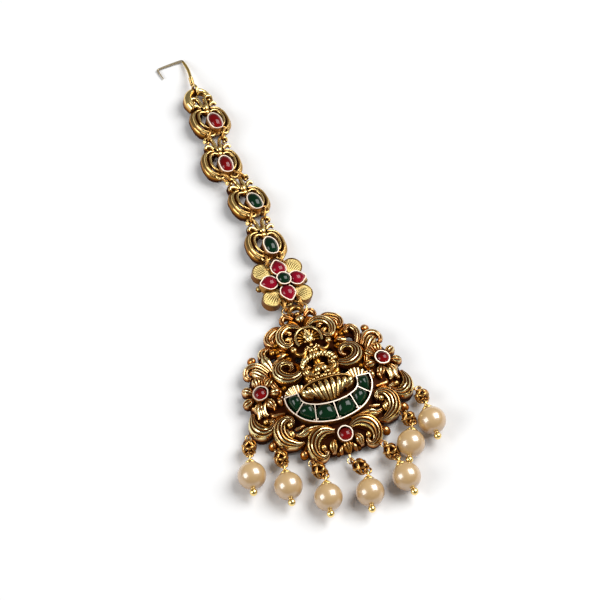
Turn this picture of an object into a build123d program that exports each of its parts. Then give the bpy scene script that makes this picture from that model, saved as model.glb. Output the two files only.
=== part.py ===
from build123d import *
from math import cos, radians, sin, sqrt
import os

# A maang tikka, the jewel worn on the parting of the hair, lying face up on a table.
# +Y runs up the chain towards the hair hook, +Z is up, and the table is at Z = 0.
# All sizes are in millimetres. The layout is drawn about the pendant's own axis (X = 0),
# and the whole jewel is centred over the origin just before it is written.

# ---------------------------------------------------------------- driving dimensions
GAP = 0.06  # play between a stone and its setting, all round

# pendant: a pierced, domed plate with raised scrolls, soldered into one
DOME_RADIUS = 55.0  # of the plate's hollow back
DOME_Y = -21.0  # highest point of the dome
DOME_RIM = 19.5  # the back meets the table this far from the top of the dome
PENDANT_TURN = -1.3  # degrees, as it lies
PENDANT_PIVOT_Y = -12.0
PLATE, LOW, MIDDLE, HIGH = 1.2, 1.9, 2.6, 3.4  # heights above the hollow back
DRAW_UP = 15.0  # a drawing is carried up this far before the dome trims it
THROUGH = 20.0  # of a cut that goes right through a piece
RUBY_R, RUBY_WALL, RUBY_SEAT, RUBY_RISE = 1.42, 0.36, 1.5, 1.9
BALL_R, BALL_LEVEL, NECK_WIDTH = 0.95, 0.9, 0.9  # beads of the rim
HEAD_R, HEAD_Y, HEAD_LEVEL = 1.35, -12.9, 3.0  # the seated figure's head
CROWN_BEAD_R, CROWN_BEAD_Y, CROWN_BEAD_LEVEL = 0.9, -6.6, 2.6
ROSETTE_PETALS, ROSETTE_R, PETAL_LOBE_R = 7, 3.0, 1.3

# crescent channel with six green stones
INNER_ARC_Y, INNER_ARC_R = -21.7, 7.2
OUTER_ARC_Y, OUTER_ARC_R = -23.4, 9.6
CRESCENT_END_Y = -24.6
CHANNEL_FLOOR, CHANNEL_WALL = 1.9, 3.2  # heights above the hollow back
CELL_LIFT, CELL_RISE, CELL_CORNER, CELL_CURVE = 0.4, 2.0, 0.9, 2.6

# chain links
LINK_HEIGHT, LINK_ROLL = 2.3, 15.0  # each link leans, in degrees, over to its right-hand edge
LOBE_X, LOBE_Y, LOBE_HALF_W, LOBE_HALF_L = 1.9, -0.45, 2.7, 3.75
LOBE_HOLE_X, LOBE_HOLE_Y, LOBE_HOLE_HALF_W, LOBE_HOLE_HALF_L = 2.5, 0.1, 0.7, 1.6
LINK_HALF_W = LOBE_X + LOBE_HALF_W
STONE_W, STONE_L, STONE_Y, STONE_SEAT, STONE_TOP, STONE_CURVE = 2.7, 4.0, -1.6, 1.6, 3.7, 2.5
BEZEL_WALL, BEZEL_HEIGHT = 0.38, 3.1
CREST_FOOT, CREST_T = 1.25, 0.8  # the crest is a thinner layer, off the table
CURL_X, CURL_Y, CURL_R, CURL_WIDTH = 1.75, 4.95, 1.2, 0.9
CREST_BEAD_Y, CREST_BEAD_Z, CREST_BEAD_R = 4.2, 2.0, 0.55
ARCH_Y, ARCH_R, ARCH_WIDTH = 6.4, 2.4, 1.1
EYE_X, EYE_LOW_Y, EYE_HIGH_Y = 1.7, -3.7, 6.0  # jump-ring eyes under and over a link
EYE_HOLE_R, EYE_R, EYE_CLEAR_R = 0.66, 1.08, 1.15
EYE_Z, EYE_T = 1.7, 0.7

# jump rings
RING_R, RING_WIRE_R = 1.25, 0.27

# flower link
FLOWER_ROLL, FLOWER_HALF_W = 11.0, 6.05
PETAL_R, PETAL_X, PETAL_Y, PETAL_HEIGHT = 1.88, 3.55, 3.5, 1.9
DISC_R = 4.0
SEPAL_R, SEPAL_AT, SEPAL_HEIGHT = 0.75, 5.3, 1.5
FLOWER_EYE_LOW_Y, FLOWER_EYE_HIGH_Y = -4.65, 4.5
TEAR_R, TEAR_TIP, TEAR_AT, TEAR_HEIGHT = 1.54, 1.62, 3.1, 2.7
TEAR_TOP, TEAR_CURVE, TEAR_SEAT, TIP_R = 3.3, 2.4, 1.4, 0.2
EMERALD_R, EMERALD_HEIGHT, EMERALD_SEAT, EMERALD_CURVE = 1.29, 3.5, 2.0, 1.8
SETTING_WALL = 0.36

# hair hook
HOOK_WIRE_R, HOOK_EYE_R, HOOK_EYE_Z = 0.36, 1.3, 1.45
SLEEVE_R, SLEEVE_LENGTH = 0.62, 2.5

# pearl drops
PEARL_R, PEARL_HOLE_R, PIN_R = 3.0, 0.36, 0.3
PIN_BALL_R = 0.8
CAP_R, CAP_HEIGHT, CAP_SINK = 1.1, 0.4, 0.1
PIN_LENGTH = 2 * PEARL_R + 1.2
PIN_EYE_R, PIN_EYE_WIRE_R = 0.8, 0.18
LOOP_R, LOOP_HOLE_R, LOOP_T = 0.95, 0.5, 0.35
KNOT_R, KNOT_CHAMFER = 1.2, 0.35
KNOT_EYE_R, KNOT_EYE_WIRE_R = 0.85, 0.22
LUG_R, LUG_HOLE_R, LUG_Z, LUG_T, LUG_ARM = 0.85, 0.5, 1.6, 0.45, 1.2

pieces = {}


def keep(name, solid, place=Location()):
    """Set a finished piece in its place and note it under its node name."""
    pieces[name] = solid.moved(place)


def on_pendant(x=0.0, y=0.0):
    """Place of a point of the pendant's drawing, once the pendant is turned as it lies."""
    turn = radians(PENDANT_TURN)
    arm = y - PENDANT_PIVOT_Y
    px = x * cos(turn) - arm * sin(turn)
    py = x * sin(turn) + arm * cos(turn) + PENDANT_PIVOT_Y
    return Location((px, py, 0), (0, 0, PENDANT_TURN))


def back_height(x, y):
    """Height of the pendant's hollow back over the table at a place of its drawing."""
    from_top = x * x + (y - DOME_Y) ** 2
    return sqrt(DOME_RADIUS**2 - from_top) - sqrt(DOME_RADIUS**2 - DOME_RIM**2)


def cabochon(outline, foot, crown, curve_r):
    """A domed stone: an outline drawn by the given function, rounded over by a sphere."""
    with BuildPart() as stone:
        with BuildSketch(Plane.XY.offset(foot)):
            outline()
        extrude(amount=crown - foot)
        with Locations((0, 0, crown - curve_r)):
            Sphere(curve_r, mode=Mode.INTERSECT)
    return stone.part


# ---------------------------------------------------------------- pendant frame
# Scrolls of the right half as bands along arcs; the left half is their mirror image.
# (name, centre x, centre y, radius, start angle, sweep, width, height over the back)
SCROLLS = [
    ("crown curl", 3.1, -6.2, 1.1, -60, 240, 0.8, MIDDLE),
    ("shoulder leaf", 6.9, -9.3, 1.5, -90, 240, 1.1, MIDDLE),
    ("collar curl", 3.7, -10.3, 1.8, -110, 250, 1.0, HIGH),
    ("hooked leaf", 9.3, -12.8, 1.2, -20, 200, 1.0, MIDDLE),
    ("outer curl", 13.6, -15.6, 1.4, -60, 230, 0.9, MIDDLE),
    ("spiral, outer turn", 6.75, -18.3, 2.4, -160, 310, 1.0, HIGH),
    ("spiral, inner turn", 6.6, -18.4, 1.0, -60, 250, 0.8, HIGH),
    ("upper rim scroll", 15.2, -27.7, 2.0, 60, -260, 1.7, HIGH),
    ("middle rim scroll", 10.9, -31.3, 2.2, 160, -250, 1.8, HIGH),
    ("lower rim scroll", 5.3, -36.8, 2.0, 140, -270, 1.3, HIGH),
]
# Leaves, stems and buds of the right half as ellipses.
# (name, x, y, length, width, turn, height over the back)
LEAVES = [
    ("crown stem", 1.7, -7.6, 3.0, 1.0, 55, LOW),
    ("shoulder stem", 5.0, -9.0, 3.0, 1.6, 40, LOW),
    ("hooked leaf bulb", 8.0, -12.9, 1.5, 1.3, 0, MIDDLE),
    ("hooked leaf stem", 10.0, -15.2, 4.6, 1.2, 102, MIDDLE),
    ("side bud", 3.9, -14.2, 1.5, 1.4, 0, MIDDLE),
    ("side leaf", 6.9, -14.6, 2.6, 1.2, -20, MIDDLE),
    ("outer curl stem", 11.4, -16.5, 3.6, 1.1, 50, MIDDLE),
    ("inner fan", 10.6, -19.3, 3.6, 2.4, 75, LOW),
    ("hatched end", 7.5, -23.5, 3.8, 2.0, -25, HIGH),
    ("small leaf", 10.6, -23.9, 2.2, 1.6, 60, LOW),
    ("twig", 11.4, -26.9, 3.4, 0.9, 10, MIDDLE),
    ("upper scroll bulb", 14.3, -27.6, 1.5, 1.2, 30, MIDDLE),
    ("middle scroll bulb", 9.7, -30.0, 1.6, 1.3, 0, MIDDLE),
    ("tail leaf", 7.6, -32.8, 4.6, 1.5, 12, MIDDLE),
    ("lower scroll bulb", 5.0, -37.2, 1.5, 1.4, 0, MIDDLE),
    ("foot bud", 2.9, -37.6, 2.0, 1.7, 70, MIDDLE),
]
# Outline of the backing plate, right half, from the crown down to the foot.
PLATE_EDGE = [
    (0, -3.2), (1.4, -4.5), (4.2, -6.0), (8.2, -8.8), (10.8, -12.0), (14.2, -15.0),
    (16.6, -20.0), (17.2, -24.5), (17.4, -28.0), (15.2, -30.0), (13.6, -31.5),
    (11.6, -34.0), (8.6, -36.0), (6.6, -38.6), (0, -39.2),
]
PIERCINGS = [(8.5, -14.4, 0.8), (3.4, -16.0, 0.7), (4.6, -22.0, 0.65), (8.7, -31.2, 0.8)]
# beads of the rim on the right half: x, y, and the foot of the neck that holds each one
RIM_BALLS = [(12.8, -12.5, 11.6, -14.6), (14.65, -32.6, 13.0, -30.4), (9.05, -36.75, 7.8, -35.0)]
RUBY_PLACES = [(-13.65, -21.3), (13.65, -21.3), (0.27, -35.77)]
# What stands on the pendant's axis, as ellipses: name, y, width, length, height over the back
MIDDLE_PIECES = [
    ("foot", -38.6, 3.8, 2.4, LOW),
    ("crown stem", -5.2, 3.0, 6.2, MIDDLE),
    ("lap and legs", -21.4, 7.0, 2.6, MIDDLE),
    ("body", -18.2, 2.8, 6.0, HIGH),
    ("crown of the figure", -13.6, 2.0, 4.4, HIGH),
    ("lotus seat", -25.2, 11.2, 5.0, HIGH),
]
# and as bands along arcs: name, y, radius, start angle, sweep, width
MIDDLE_ARCS = [("halo", -12.4, 2.6, -20, 220, 0.8), ("garland", -20.3, 2.7, 15, 150, 0.9)]
# green stones of the right half: x, y, size along and across the channel, turn
CELLS = [
    (2.0, -30.75, 3.3, 3.3, 10),
    (5.6, -29.25, 3.1, 2.9, 38),
    (7.7, -26.35, 3.0, 2.8, 76),
]
LUGS = {  # eyes of the rim that carry the drops, from left to right, and what they stand on
    1: ((-18.9, -29.1), (-16.2, -28.4)),
    2: ((-13.9, -33.6), (-12.2, -31.8)),
    3: ((-8.2, -38.9), (-6.6, -37.2)),
    4: ((-0.3, -40.9), (0.0, -38.4)),
    5: ((7.6, -39.4), (6.2, -37.4)),
    6: ((13.9, -33.8), (12.3, -32.0)),
    7: ((18.9, -29.6), (16.2, -28.4)),
}
TOP_EYE_Y, TOP_EYE_X, TOP_EYE_Z = -3.2, 1.9, 2.7
TOP_TAB_W, TOP_TAB_L = 2.4, 2.0


def over_the_dome(height, draw):
    """A raised level of the pendant: a drawing carried up to one height over the back."""
    sphere_z = -sqrt(DOME_RADIUS**2 - DOME_RIM**2)
    with BuildPart() as level:
        with BuildSketch():
            draw()
        extrude(amount=DRAW_UP)
        with Locations((0, DOME_Y, sphere_z)):
            Sphere(DOME_RADIUS + height, mode=Mode.INTERSECT)
            Sphere(DOME_RADIUS, mode=Mode.SUBTRACT)
    return level.part


def both_sides(draw):
    """Draw a shape on the right and again, mirrored, on the left."""
    with BuildSketch(mode=Mode.PRIVATE) as right:
        draw()
    add(right.sketch)
    add(right.sketch.mirror(Plane.YZ))


def draw_half_plate():
    Polygon(*PLATE_EDGE, align=None)
    for x, y, r in PIERCINGS:
        with Locations((x, y)):
            Circle(r, mode=Mode.SUBTRACT)


def draw_raised(height):
    """Every scroll, leaf and middle piece of one height."""
    for name, x, y, r, start, sweep, width, level in SCROLLS:
        if level == height:
            both_sides(lambda: SlotArc(CenterArc((x, y), r, start, sweep), height=width))
    for name, x, y, length, width, turn, level in LEAVES:
        if level == height:
            both_sides(lambda: add(leaf(x, y, length, width, turn)))
    for name, y, width, length, level in MIDDLE_PIECES:
        if level == height:
            add(leaf(0, y, width, length, 0))


def leaf(x, y, length, width, turn):
    with BuildSketch(mode=Mode.PRIVATE) as shape:
        with Locations(Location((x, y, 0), (0, 0, turn))):
            Ellipse(length / 2, width / 2)
    return shape.sketch


def draw_low():
    draw_raised(LOW)
    for x, y in RUBY_PLACES[:2]:
        for k in range(ROSETTE_PETALS):
            angle = radians(k * 360 / ROSETTE_PETALS + 90)
            with Locations((x + ROSETTE_R * cos(angle), y + ROSETTE_R * sin(angle))):
                Circle(PETAL_LOBE_R)
    with Locations(*RUBY_PLACES):
        Circle(RUBY_R + RUBY_WALL + 0.3)


def draw_middle():
    draw_raised(MIDDLE)
    with Locations(*RUBY_PLACES):
        Circle(RUBY_R + RUBY_WALL)
    with Locations(*RUBY_PLACES):
        Circle(RUBY_R + GAP, mode=Mode.SUBTRACT)


def draw_high():
    draw_raised(HIGH)
    for name, y, r, start, sweep, width in MIDDLE_ARCS:
        SlotArc(CenterArc((0, y), r, start, sweep), height=width)


def draw_channel():
    """The crescent channel, a band between two arcs, closed at its two ends."""
    with BuildSketch(mode=Mode.PRIVATE) as band:
        with Locations((0, OUTER_ARC_Y)):
            Circle(OUTER_ARC_R)
        with Locations((0, INNER_ARC_Y)):
            Circle(INNER_ARC_R, mode=Mode.SUBTRACT)
        with Locations((0, CRESCENT_END_Y)):
            Rectangle(
                3 * OUTER_ARC_R, 3 * OUTER_ARC_R, align=(Align.CENTER, Align.MIN), mode=Mode.SUBTRACT
            )
    add(band.sketch)


def draw_cells(play):
    for x, y, along, across, turn in CELLS:
        for side in (1, -1):
            with Locations(Location((side * x, y, 0), (0, 0, side * turn))):
                RectangleRounded(along + 2 * play, across + 2 * play, CELL_CORNER + play)


channel_floor = over_the_dome(CHANNEL_FLOOR, draw_channel)
channel_walls = over_the_dome(CHANNEL_WALL, draw_channel)
cell_pockets = over_the_dome(2 * CHANNEL_WALL, lambda: draw_cells(GAP))

with BuildPart() as frame:
    add(over_the_dome(PLATE, lambda: both_sides(draw_half_plate)))
    add(over_the_dome(LOW, draw_low))
    add(over_the_dome(MIDDLE, draw_middle))
    add(over_the_dome(HIGH, draw_high))
    add(channel_walls)
    add(cell_pockets, mode=Mode.SUBTRACT)
    add(channel_floor)
    # ruby settings: the bezel stays open down to its seat
    for x, y in RUBY_PLACES:
        with Locations((x, y, back_height(x, y) + RUBY_SEAT)):
            Cylinder(
                RUBY_R + GAP, 2 * RUBY_RISE,
                align=(Align.CENTER, Align.CENTER, Align.MIN), mode=Mode.SUBTRACT,
            )
    # the seated figure's head in front of its halo, and the bead of the crown
    with Locations((0, HEAD_Y, back_height(0, HEAD_Y) + HEAD_LEVEL)):
        Sphere(HEAD_R)
    with Locations((0, CROWN_BEAD_Y, back_height(0, CROWN_BEAD_Y) + CROWN_BEAD_LEVEL)):
        Sphere(CROWN_BEAD_R)
    for side in (1, -1):
        for x, y, foot_x, foot_y in RIM_BALLS:
            ball_z = back_height(x, y) + BALL_LEVEL
            with Locations((side * x, y, ball_z)):
                Sphere(BALL_R)
            with BuildSketch(Plane.XY.offset(ball_z - NECK_WIDTH / 2)):
                with BuildLine():
                    Line((side * x, y), (side * foot_x, foot_y))
                trace(line_width=NECK_WIDTH)
            extrude(amount=NECK_WIDTH)
    # eyes for the two jump rings at the top, each on a tab that runs back into the crown
    for side in (1, -1):
        with BuildSketch(Plane.XY.offset(TOP_EYE_Z - EYE_T / 2)):
            with Locations((side * TOP_EYE_X, TOP_EYE_Y)):
                Circle(EYE_R)
            with Locations((side * TOP_EYE_X / 2, TOP_EYE_Y - TOP_TAB_L * 0.75)):
                Rectangle(TOP_TAB_W, TOP_TAB_L)
        extrude(amount=EYE_T)
    for side in (1, -1):
        with Locations((side * TOP_EYE_X, TOP_EYE_Y, 0)):
            Cylinder(EYE_HOLE_R, THROUGH, mode=Mode.SUBTRACT)
    # lugs of the lower rim, a flat eye on a short arm for each drop
    for (x, y), (foot_x, foot_y) in LUGS.values():
        with BuildSketch(Plane.XY.offset(LUG_Z - LUG_T / 2)):
            with Locations((x, y)):
                Circle(LUG_R)
            with BuildLine():
                Line((x, y), (foot_x, foot_y))
            trace(line_width=LUG_ARM)
        extrude(amount=LUG_T)
    for (x, y), foot in LUGS.values():
        with Locations((x, y, 0)):
            Cylinder(LUG_HOLE_R, THROUGH, mode=Mode.SUBTRACT)

keep("pendant_frame", frame.part, on_pendant())

for number, (x, y) in enumerate(RUBY_PLACES, 1):
    seat = back_height(x, y) + RUBY_SEAT + GAP
    ruby = cabochon(lambda: Circle(RUBY_R), seat, seat + RUBY_RISE, RUBY_RISE)
    keep(f"pendant_ruby_{number}", ruby, on_pendant(x, y))

left_cells = [(-x, y, along, across, -turn) for x, y, along, across, turn in reversed(CELLS)]
for number, (x, y, along, across, turn) in enumerate(left_cells + CELLS, 1):
    seat = back_height(x, y) + CHANNEL_FLOOR + CELL_LIFT
    stone = cabochon(
        lambda: RectangleRounded(along, across, CELL_CORNER, rotation=turn),
        seat, seat + CELL_RISE, CELL_CURVE,
    )
    keep(f"crescent_stone_{number}", stone, on_pendant(x, y))

# ---------------------------------------------------------------- chain links
def eyes(places):
    """Flat eyes for jump rings, each on a tab that runs back into the link's body."""
    with BuildPart() as row:
        with BuildSketch(Plane.XY.offset(EYE_Z - EYE_T / 2)):
            with Locations(*places):
                Circle(EYE_R)
            with Locations(*[(x * 0.55, y * 0.86) for x, y in places]):
                Rectangle(2.6, 1.6)
        extrude(amount=EYE_T)
    return row.part


def upright_holes(places, r):
    with BuildPart() as holes:
        with Locations(*[(x, y, 0) for x, y in places]):
            Cylinder(r, THROUGH)
    return holes.part


def draw_lobes():
    for side in (1, -1):
        with Locations((side * LOBE_X, LOBE_Y)):
            Ellipse(LOBE_HALF_W, LOBE_HALF_L)
    with Locations((0, LOBE_Y)):
        Rectangle(2 * LOBE_X, 2 * LOBE_HALF_L * 0.92)
    for side in (1, -1):
        with Locations((side * LOBE_HOLE_X, LOBE_HOLE_Y)):
            Ellipse(LOBE_HOLE_HALF_W, LOBE_HOLE_HALF_L, mode=Mode.SUBTRACT)


def draw_crest(with_arch):
    """Two curls and the web between them; the top link has an arch over them too."""
    for side in (1, -1):
        SlotArc(CenterArc((side * CURL_X, CURL_Y), CURL_R, 90 - side * 120, side * 240), height=CURL_WIDTH)
    with Locations((0, CURL_Y - 0.45)):
        Rectangle(CURL_WIDTH + 0.7, 3.8)
    if with_arch:
        SlotArc(CenterArc((0, ARCH_Y), ARCH_R, -15, 210), height=ARCH_WIDTH)


def link(with_arch):
    """One chain link: two C-shaped lobes round a raised oval setting, with a crest of curls."""
    low_eyes = [(-EYE_X, EYE_LOW_Y), (EYE_X, EYE_LOW_Y)]
    high_eyes = [] if with_arch else [(-EYE_X, EYE_HIGH_Y), (EYE_X, EYE_HIGH_Y)]
    with BuildPart() as body:
        with BuildSketch():
            draw_lobes()
        extrude(amount=LINK_HEIGHT)
        # room over and under the low eyes for the rings
        add(upright_holes(low_eyes, EYE_CLEAR_R), mode=Mode.SUBTRACT)
        with BuildSketch(Plane.XY.offset(CREST_FOOT)):
            draw_crest(with_arch)
        extrude(amount=CREST_T)
        add(eyes(low_eyes + high_eyes))
        with Locations((0, CREST_BEAD_Y, CREST_BEAD_Z)):
            Sphere(CREST_BEAD_R)
        # raised setting with its pocket
        with BuildSketch():
            with Locations((0, STONE_Y)):
                Ellipse(STONE_W / 2 + BEZEL_WALL, STONE_L / 2 + BEZEL_WALL)
        extrude(amount=BEZEL_HEIGHT)
        with BuildSketch(Plane.XY.offset(STONE_SEAT)):
            with Locations((0, STONE_Y)):
                Ellipse(STONE_W / 2 + GAP, STONE_L / 2 + GAP)
        extrude(amount=BEZEL_HEIGHT, mode=Mode.SUBTRACT)
        add(upright_holes(low_eyes + high_eyes, EYE_HOLE_R), mode=Mode.SUBTRACT)
    return body.part


def leaning(x, y, turn, half_width, roll):
    """Place of a piece that leans over on its right-hand edge, touching the table there."""
    lift = half_width * sin(radians(roll))
    upright = Location((x, y, lift), (0, 0, turn))
    return upright * Location((0, 0, 0), (0, roll, 0))


def point(place, x, y, z=EYE_Z):
    """A point of a placed piece, as a vector in the jewel's frame."""
    return (place * Location((x, y, z))).position


def jump_ring(name, low, high):
    """A round ring that stands on edge and passes through two flat eyes."""
    middle = (low + high) * 0.5
    along = (high - low).normalized()
    side = along.cross(Vector(0, 0, 1)).normalized()
    with BuildPart(Plane(origin=middle, x_dir=along, z_dir=side)) as ring:
        Torus(RING_R, RING_WIRE_R)
    keep(name, ring.part)


def next_place(eye_middle, swing, eye_y, turn, half_width, roll):
    """Where the next piece up lies, so that one jump ring reaches from eye to eye."""
    reach = 2 * RING_R
    own_eyes = point(leaning(0, 0, turn, half_width, roll), 0, eye_y)
    return leaning(
        eye_middle.X + reach * sin(radians(swing)) - own_eyes.X,
        eye_middle.Y + reach * cos(radians(swing)) - own_eyes.Y,
        turn, half_width, roll,
    )


def pair_of_rings(number, low_place, low_at, high_place, high_at):
    """The left and right jump rings between two pieces; each eye is given as x, y, z."""
    for side, word in ((-1, "left"), (1, "right")):
        low = point(low_place, side * low_at[0], low_at[1], low_at[2])
        high = point(high_place, side * high_at[0], high_at[1], high_at[2])
        jump_ring(f"jump_ring_{number}_{word}", low, high)


# flower link, the lowest piece of the chain
FLOWER_TURN, FLOWER_SWING = -0.5, -4.0
pendant_place = on_pendant()
pendant_eye = point(pendant_place, 0, TOP_EYE_Y, TOP_EYE_Z)
flower_place = next_place(
    pendant_eye, FLOWER_SWING, FLOWER_EYE_LOW_Y, FLOWER_TURN, FLOWER_HALF_W, FLOWER_ROLL
)


def teardrop(r, tip):
    """A round outline drawn out to one blunt point along +Y."""
    Circle(r)
    with Locations((0, tip - TIP_R)):
        Circle(TIP_R)
    make_hull()


def four_ways(distance):
    """Four places round the flower's heart, at a distance from it."""
    return [Location((0, 0, 0), (0, 0, 90 * k)) * Location((0, distance, 0)) for k in range(4)]


flower_eyes = [
    (-EYE_X, FLOWER_EYE_LOW_Y), (EYE_X, FLOWER_EYE_LOW_Y),
    (-EYE_X, FLOWER_EYE_HIGH_Y), (EYE_X, FLOWER_EYE_HIGH_Y),
]
with BuildPart() as flower:
    with BuildSketch():
        with GridLocations(2 * PETAL_X, 2 * PETAL_Y, 2, 2):
            Circle(PETAL_R)
        Circle(DISC_R)
    extrude(amount=PETAL_HEIGHT)
    with BuildSketch():
        with Locations(*four_ways(SEPAL_AT)):
            Circle(SEPAL_R)
    extrude(amount=SEPAL_HEIGHT)
    add(eyes(flower_eyes))
    with BuildSketch(mode=Mode.PRIVATE) as setting:
        teardrop(TEAR_R + SETTING_WALL, TEAR_TIP + SETTING_WALL)
    with BuildSketch(mode=Mode.PRIVATE) as pocket:
        teardrop(TEAR_R + GAP, TEAR_TIP + GAP)
    with BuildSketch():
        for place in four_ways(TEAR_AT):
            add(setting.sketch.moved(place))
    extrude(amount=TEAR_HEIGHT)
    with BuildSketch():
        Circle(EMERALD_R + SETTING_WALL)
    extrude(amount=EMERALD_HEIGHT)
    with BuildSketch(Plane.XY.offset(TEAR_SEAT)):
        for place in four_ways(TEAR_AT):
            add(pocket.sketch.moved(place))
        Circle(EMERALD_R + SETTING_WALL, mode=Mode.SUBTRACT)
    extrude(amount=EMERALD_HEIGHT, mode=Mode.SUBTRACT)
    with BuildSketch(Plane.XY.offset(EMERALD_SEAT)):
        Circle(EMERALD_R + GAP)
    extrude(amount=EMERALD_HEIGHT, mode=Mode.SUBTRACT)
    add(upright_holes(flower_eyes, EYE_HOLE_R), mode=Mode.SUBTRACT)

keep("flower_link", flower.part, flower_place)
emerald = cabochon(
    lambda: Circle(EMERALD_R), EMERALD_SEAT + GAP, EMERALD_HEIGHT + 0.6, EMERALD_CURVE
)
keep("flower_emerald", emerald, flower_place)
for number, place in enumerate(four_ways(TEAR_AT), 1):
    with BuildPart() as tear:
        with BuildSketch(Plane.XY.offset(TEAR_SEAT + GAP)):
            teardrop(TEAR_R, TEAR_TIP)
            with Locations((0, -TEAR_AT)):
                Circle(EMERALD_R + SETTING_WALL + GAP, mode=Mode.SUBTRACT)
        extrude(amount=TEAR_TOP - TEAR_SEAT)
        with Locations((0, 0, TEAR_TOP - TEAR_CURVE)):
            Sphere(TEAR_CURVE, mode=Mode.INTERSECT)
    keep(f"flower_ruby_{number}", tear.part, flower_place * place)

pair_of_rings(
    5, pendant_place, (TOP_EYE_X, TOP_EYE_Y, TOP_EYE_Z),
    flower_place, (EYE_X, FLOWER_EYE_LOW_Y, EYE_Z),
)

# the four links above it, from the flower up: node number, turn, swing of the rings
CHAIN = [(4, 0.0, 4.8), (3, 10.0, 20.9), (2, -3.0, -39.6), (1, 5.0, 31.5)]
link_stone = cabochon(lambda: Ellipse(STONE_W / 2, STONE_L / 2), STONE_SEAT + GAP, STONE_TOP, STONE_CURVE)
below, below_eye_y = flower_place, FLOWER_EYE_HIGH_Y
for number, turn, swing in CHAIN:
    eye_middle = point(below, 0, below_eye_y)
    here = next_place(eye_middle, swing, EYE_LOW_Y, turn, LINK_HALF_W, LINK_ROLL)
    keep(f"link_{number}", link(with_arch=number == 1), here)
    keep(f"link_stone_{number}", link_stone, here * Location((0, STONE_Y, 0)))
    pair_of_rings(
        number, below, (EYE_X, below_eye_y, EYE_Z), here, (EYE_X, EYE_LOW_Y, EYE_Z)
    )
    below, below_eye_y = here, EYE_HIGH_Y

# ---------------------------------------------------------------- hair hook
# A round wire: an eye closed round the arch of the top link, a wrapped sleeve, a straight
# stem, a square bend, and a short return leg that grips the hair.
top_link = below
ARCH_TOP_Y = ARCH_Y + ARCH_R
eye_centre = point(top_link, 0, ARCH_TOP_Y + 0.05, HOOK_EYE_Z)
sleeve_foot = point(top_link, 0, ARCH_TOP_Y + 0.05 + HOOK_EYE_R + HOOK_WIRE_R, HOOK_EYE_Z)
foot_x, foot_y = sleeve_foot.X, sleeve_foot.Y
HOOK_ROUTE = [  # corners of the wire, from the sleeve up over the bend to the end of the return leg
    (foot_x, foot_y, sleeve_foot.Z),
    (foot_x + 0.75, foot_y + 5.2, 1.3),
    (foot_x + 0.33, foot_y + 8.7, 0.57),
    (foot_x - 5.87, foot_y + 8.35, 0.37),
    (foot_x - 5.33, foot_y + 5.4, 0.37),
]
HOOK_BENDS = [3.0, 0.6, 0.55]  # radii of the corners between the ends
with BuildPart() as hook:
    with BuildLine() as route:
        FilletPolyline(*HOOK_ROUTE, radius=HOOK_BENDS)
    with BuildSketch(Plane(origin=route.line @ 0, z_dir=route.line % 0)):
        Circle(HOOK_WIRE_R)
    sweep(path=route.line)
    eye_normal = Plane(top_link * Location((0, 0, 0), (0, 90, 0))).z_dir
    eye_along = (sleeve_foot - eye_centre).normalized()
    with Locations(Plane(origin=eye_centre, x_dir=eye_along, z_dir=eye_normal)):
        Torus(HOOK_EYE_R, HOOK_WIRE_R)
    sleeve_way = Vector(*HOOK_ROUTE[1]) - Vector(*HOOK_ROUTE[0])
    with Locations(Plane(origin=HOOK_ROUTE[0], z_dir=sleeve_way)):
        Cylinder(SLEEVE_R, SLEEVE_LENGTH, align=(Align.CENTER, Align.CENTER, Align.MIN))

keep("hair_hook", hook.part)

# ---------------------------------------------------------------- pearl drops
# (number, pearl x, pearl y, heading of the pin away from straight down)
DROPS = [
    (1, -21.7, -37.7, -14),
    (2, -15.4, -42.5, -9),
    (3, -8.5, -47.7, -13),
    (4, 0.0, -49.6, -15),
    (5, 8.4, -48.8, 4),
    (6, 12.0, -42.0, -26),
    (7, 18.1, -38.5, -3),
]
CAP_FOOT = PEARL_R - CAP_SINK
EYE_AT = CAP_FOOT + CAP_HEIGHT + PIN_EYE_R  # pin eye's middle from the pearl's middle
LINK_AT = EYE_AT + PIN_EYE_R  # where the knot's loop hangs in the pin's eye


def head_pin():
    """A pin along Z through a pearl: ball end below, shank, cap and eye above."""
    ball_z = -(PEARL_R + PIN_BALL_R)
    with BuildPart() as pin:
        Cylinder(PIN_R, PIN_LENGTH)
        with Locations((0, 0, ball_z)):
            Sphere(PIN_BALL_R)
        with Locations((0, 0, CAP_FOOT + CAP_HEIGHT)):
            Cylinder(CAP_R, 2 * CAP_HEIGHT, align=(Align.CENTER, Align.CENTER, Align.MAX))
        Sphere(PEARL_R + GAP / 2, mode=Mode.SUBTRACT)
        Cylinder(PIN_R, PIN_LENGTH)
        with Locations(Location((0, 0, EYE_AT), (0, 90, 0))):
            Torus(PIN_EYE_R, PIN_EYE_WIRE_R)
    return pin.part


def pearl():
    with BuildPart() as bead:
        Sphere(PEARL_R)
        Cylinder(PEARL_HOLE_R, THROUGH, mode=Mode.SUBTRACT)
    return bead.part


def knot(length):
    """A woven bead link: flat loop below, barrel, and an eye on edge above, along +Z."""
    foot = LOOP_R * 0.75
    barrel = length - foot - KNOT_EYE_R * 1.7
    with BuildPart() as bead:
        with BuildSketch(Plane.YZ):
            Circle(LOOP_R)
        extrude(amount=LOOP_T / 2, both=True)
        with BuildSketch(Plane.YZ):
            Circle(LOOP_HOLE_R)
        extrude(amount=LOOP_T, both=True, mode=Mode.SUBTRACT)
        with BuildSketch(Plane.XY.offset(foot)):
            Circle(KNOT_R * 0.7)
        extrude(amount=barrel)
        with BuildSketch(Plane.XY.offset(foot + barrel * 0.12)):
            Circle(KNOT_R)
        extrude(amount=barrel * 0.76)
        chamfer(bead.edges().filter_by(GeomType.CIRCLE).group_by(SortBy.RADIUS)[-1], KNOT_CHAMFER)
        with Locations(Location((0, 0, length - KNOT_EYE_R), (90, 0, 0))):
            Torus(KNOT_EYE_R, KNOT_EYE_WIRE_R)
    return bead.part


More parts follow.
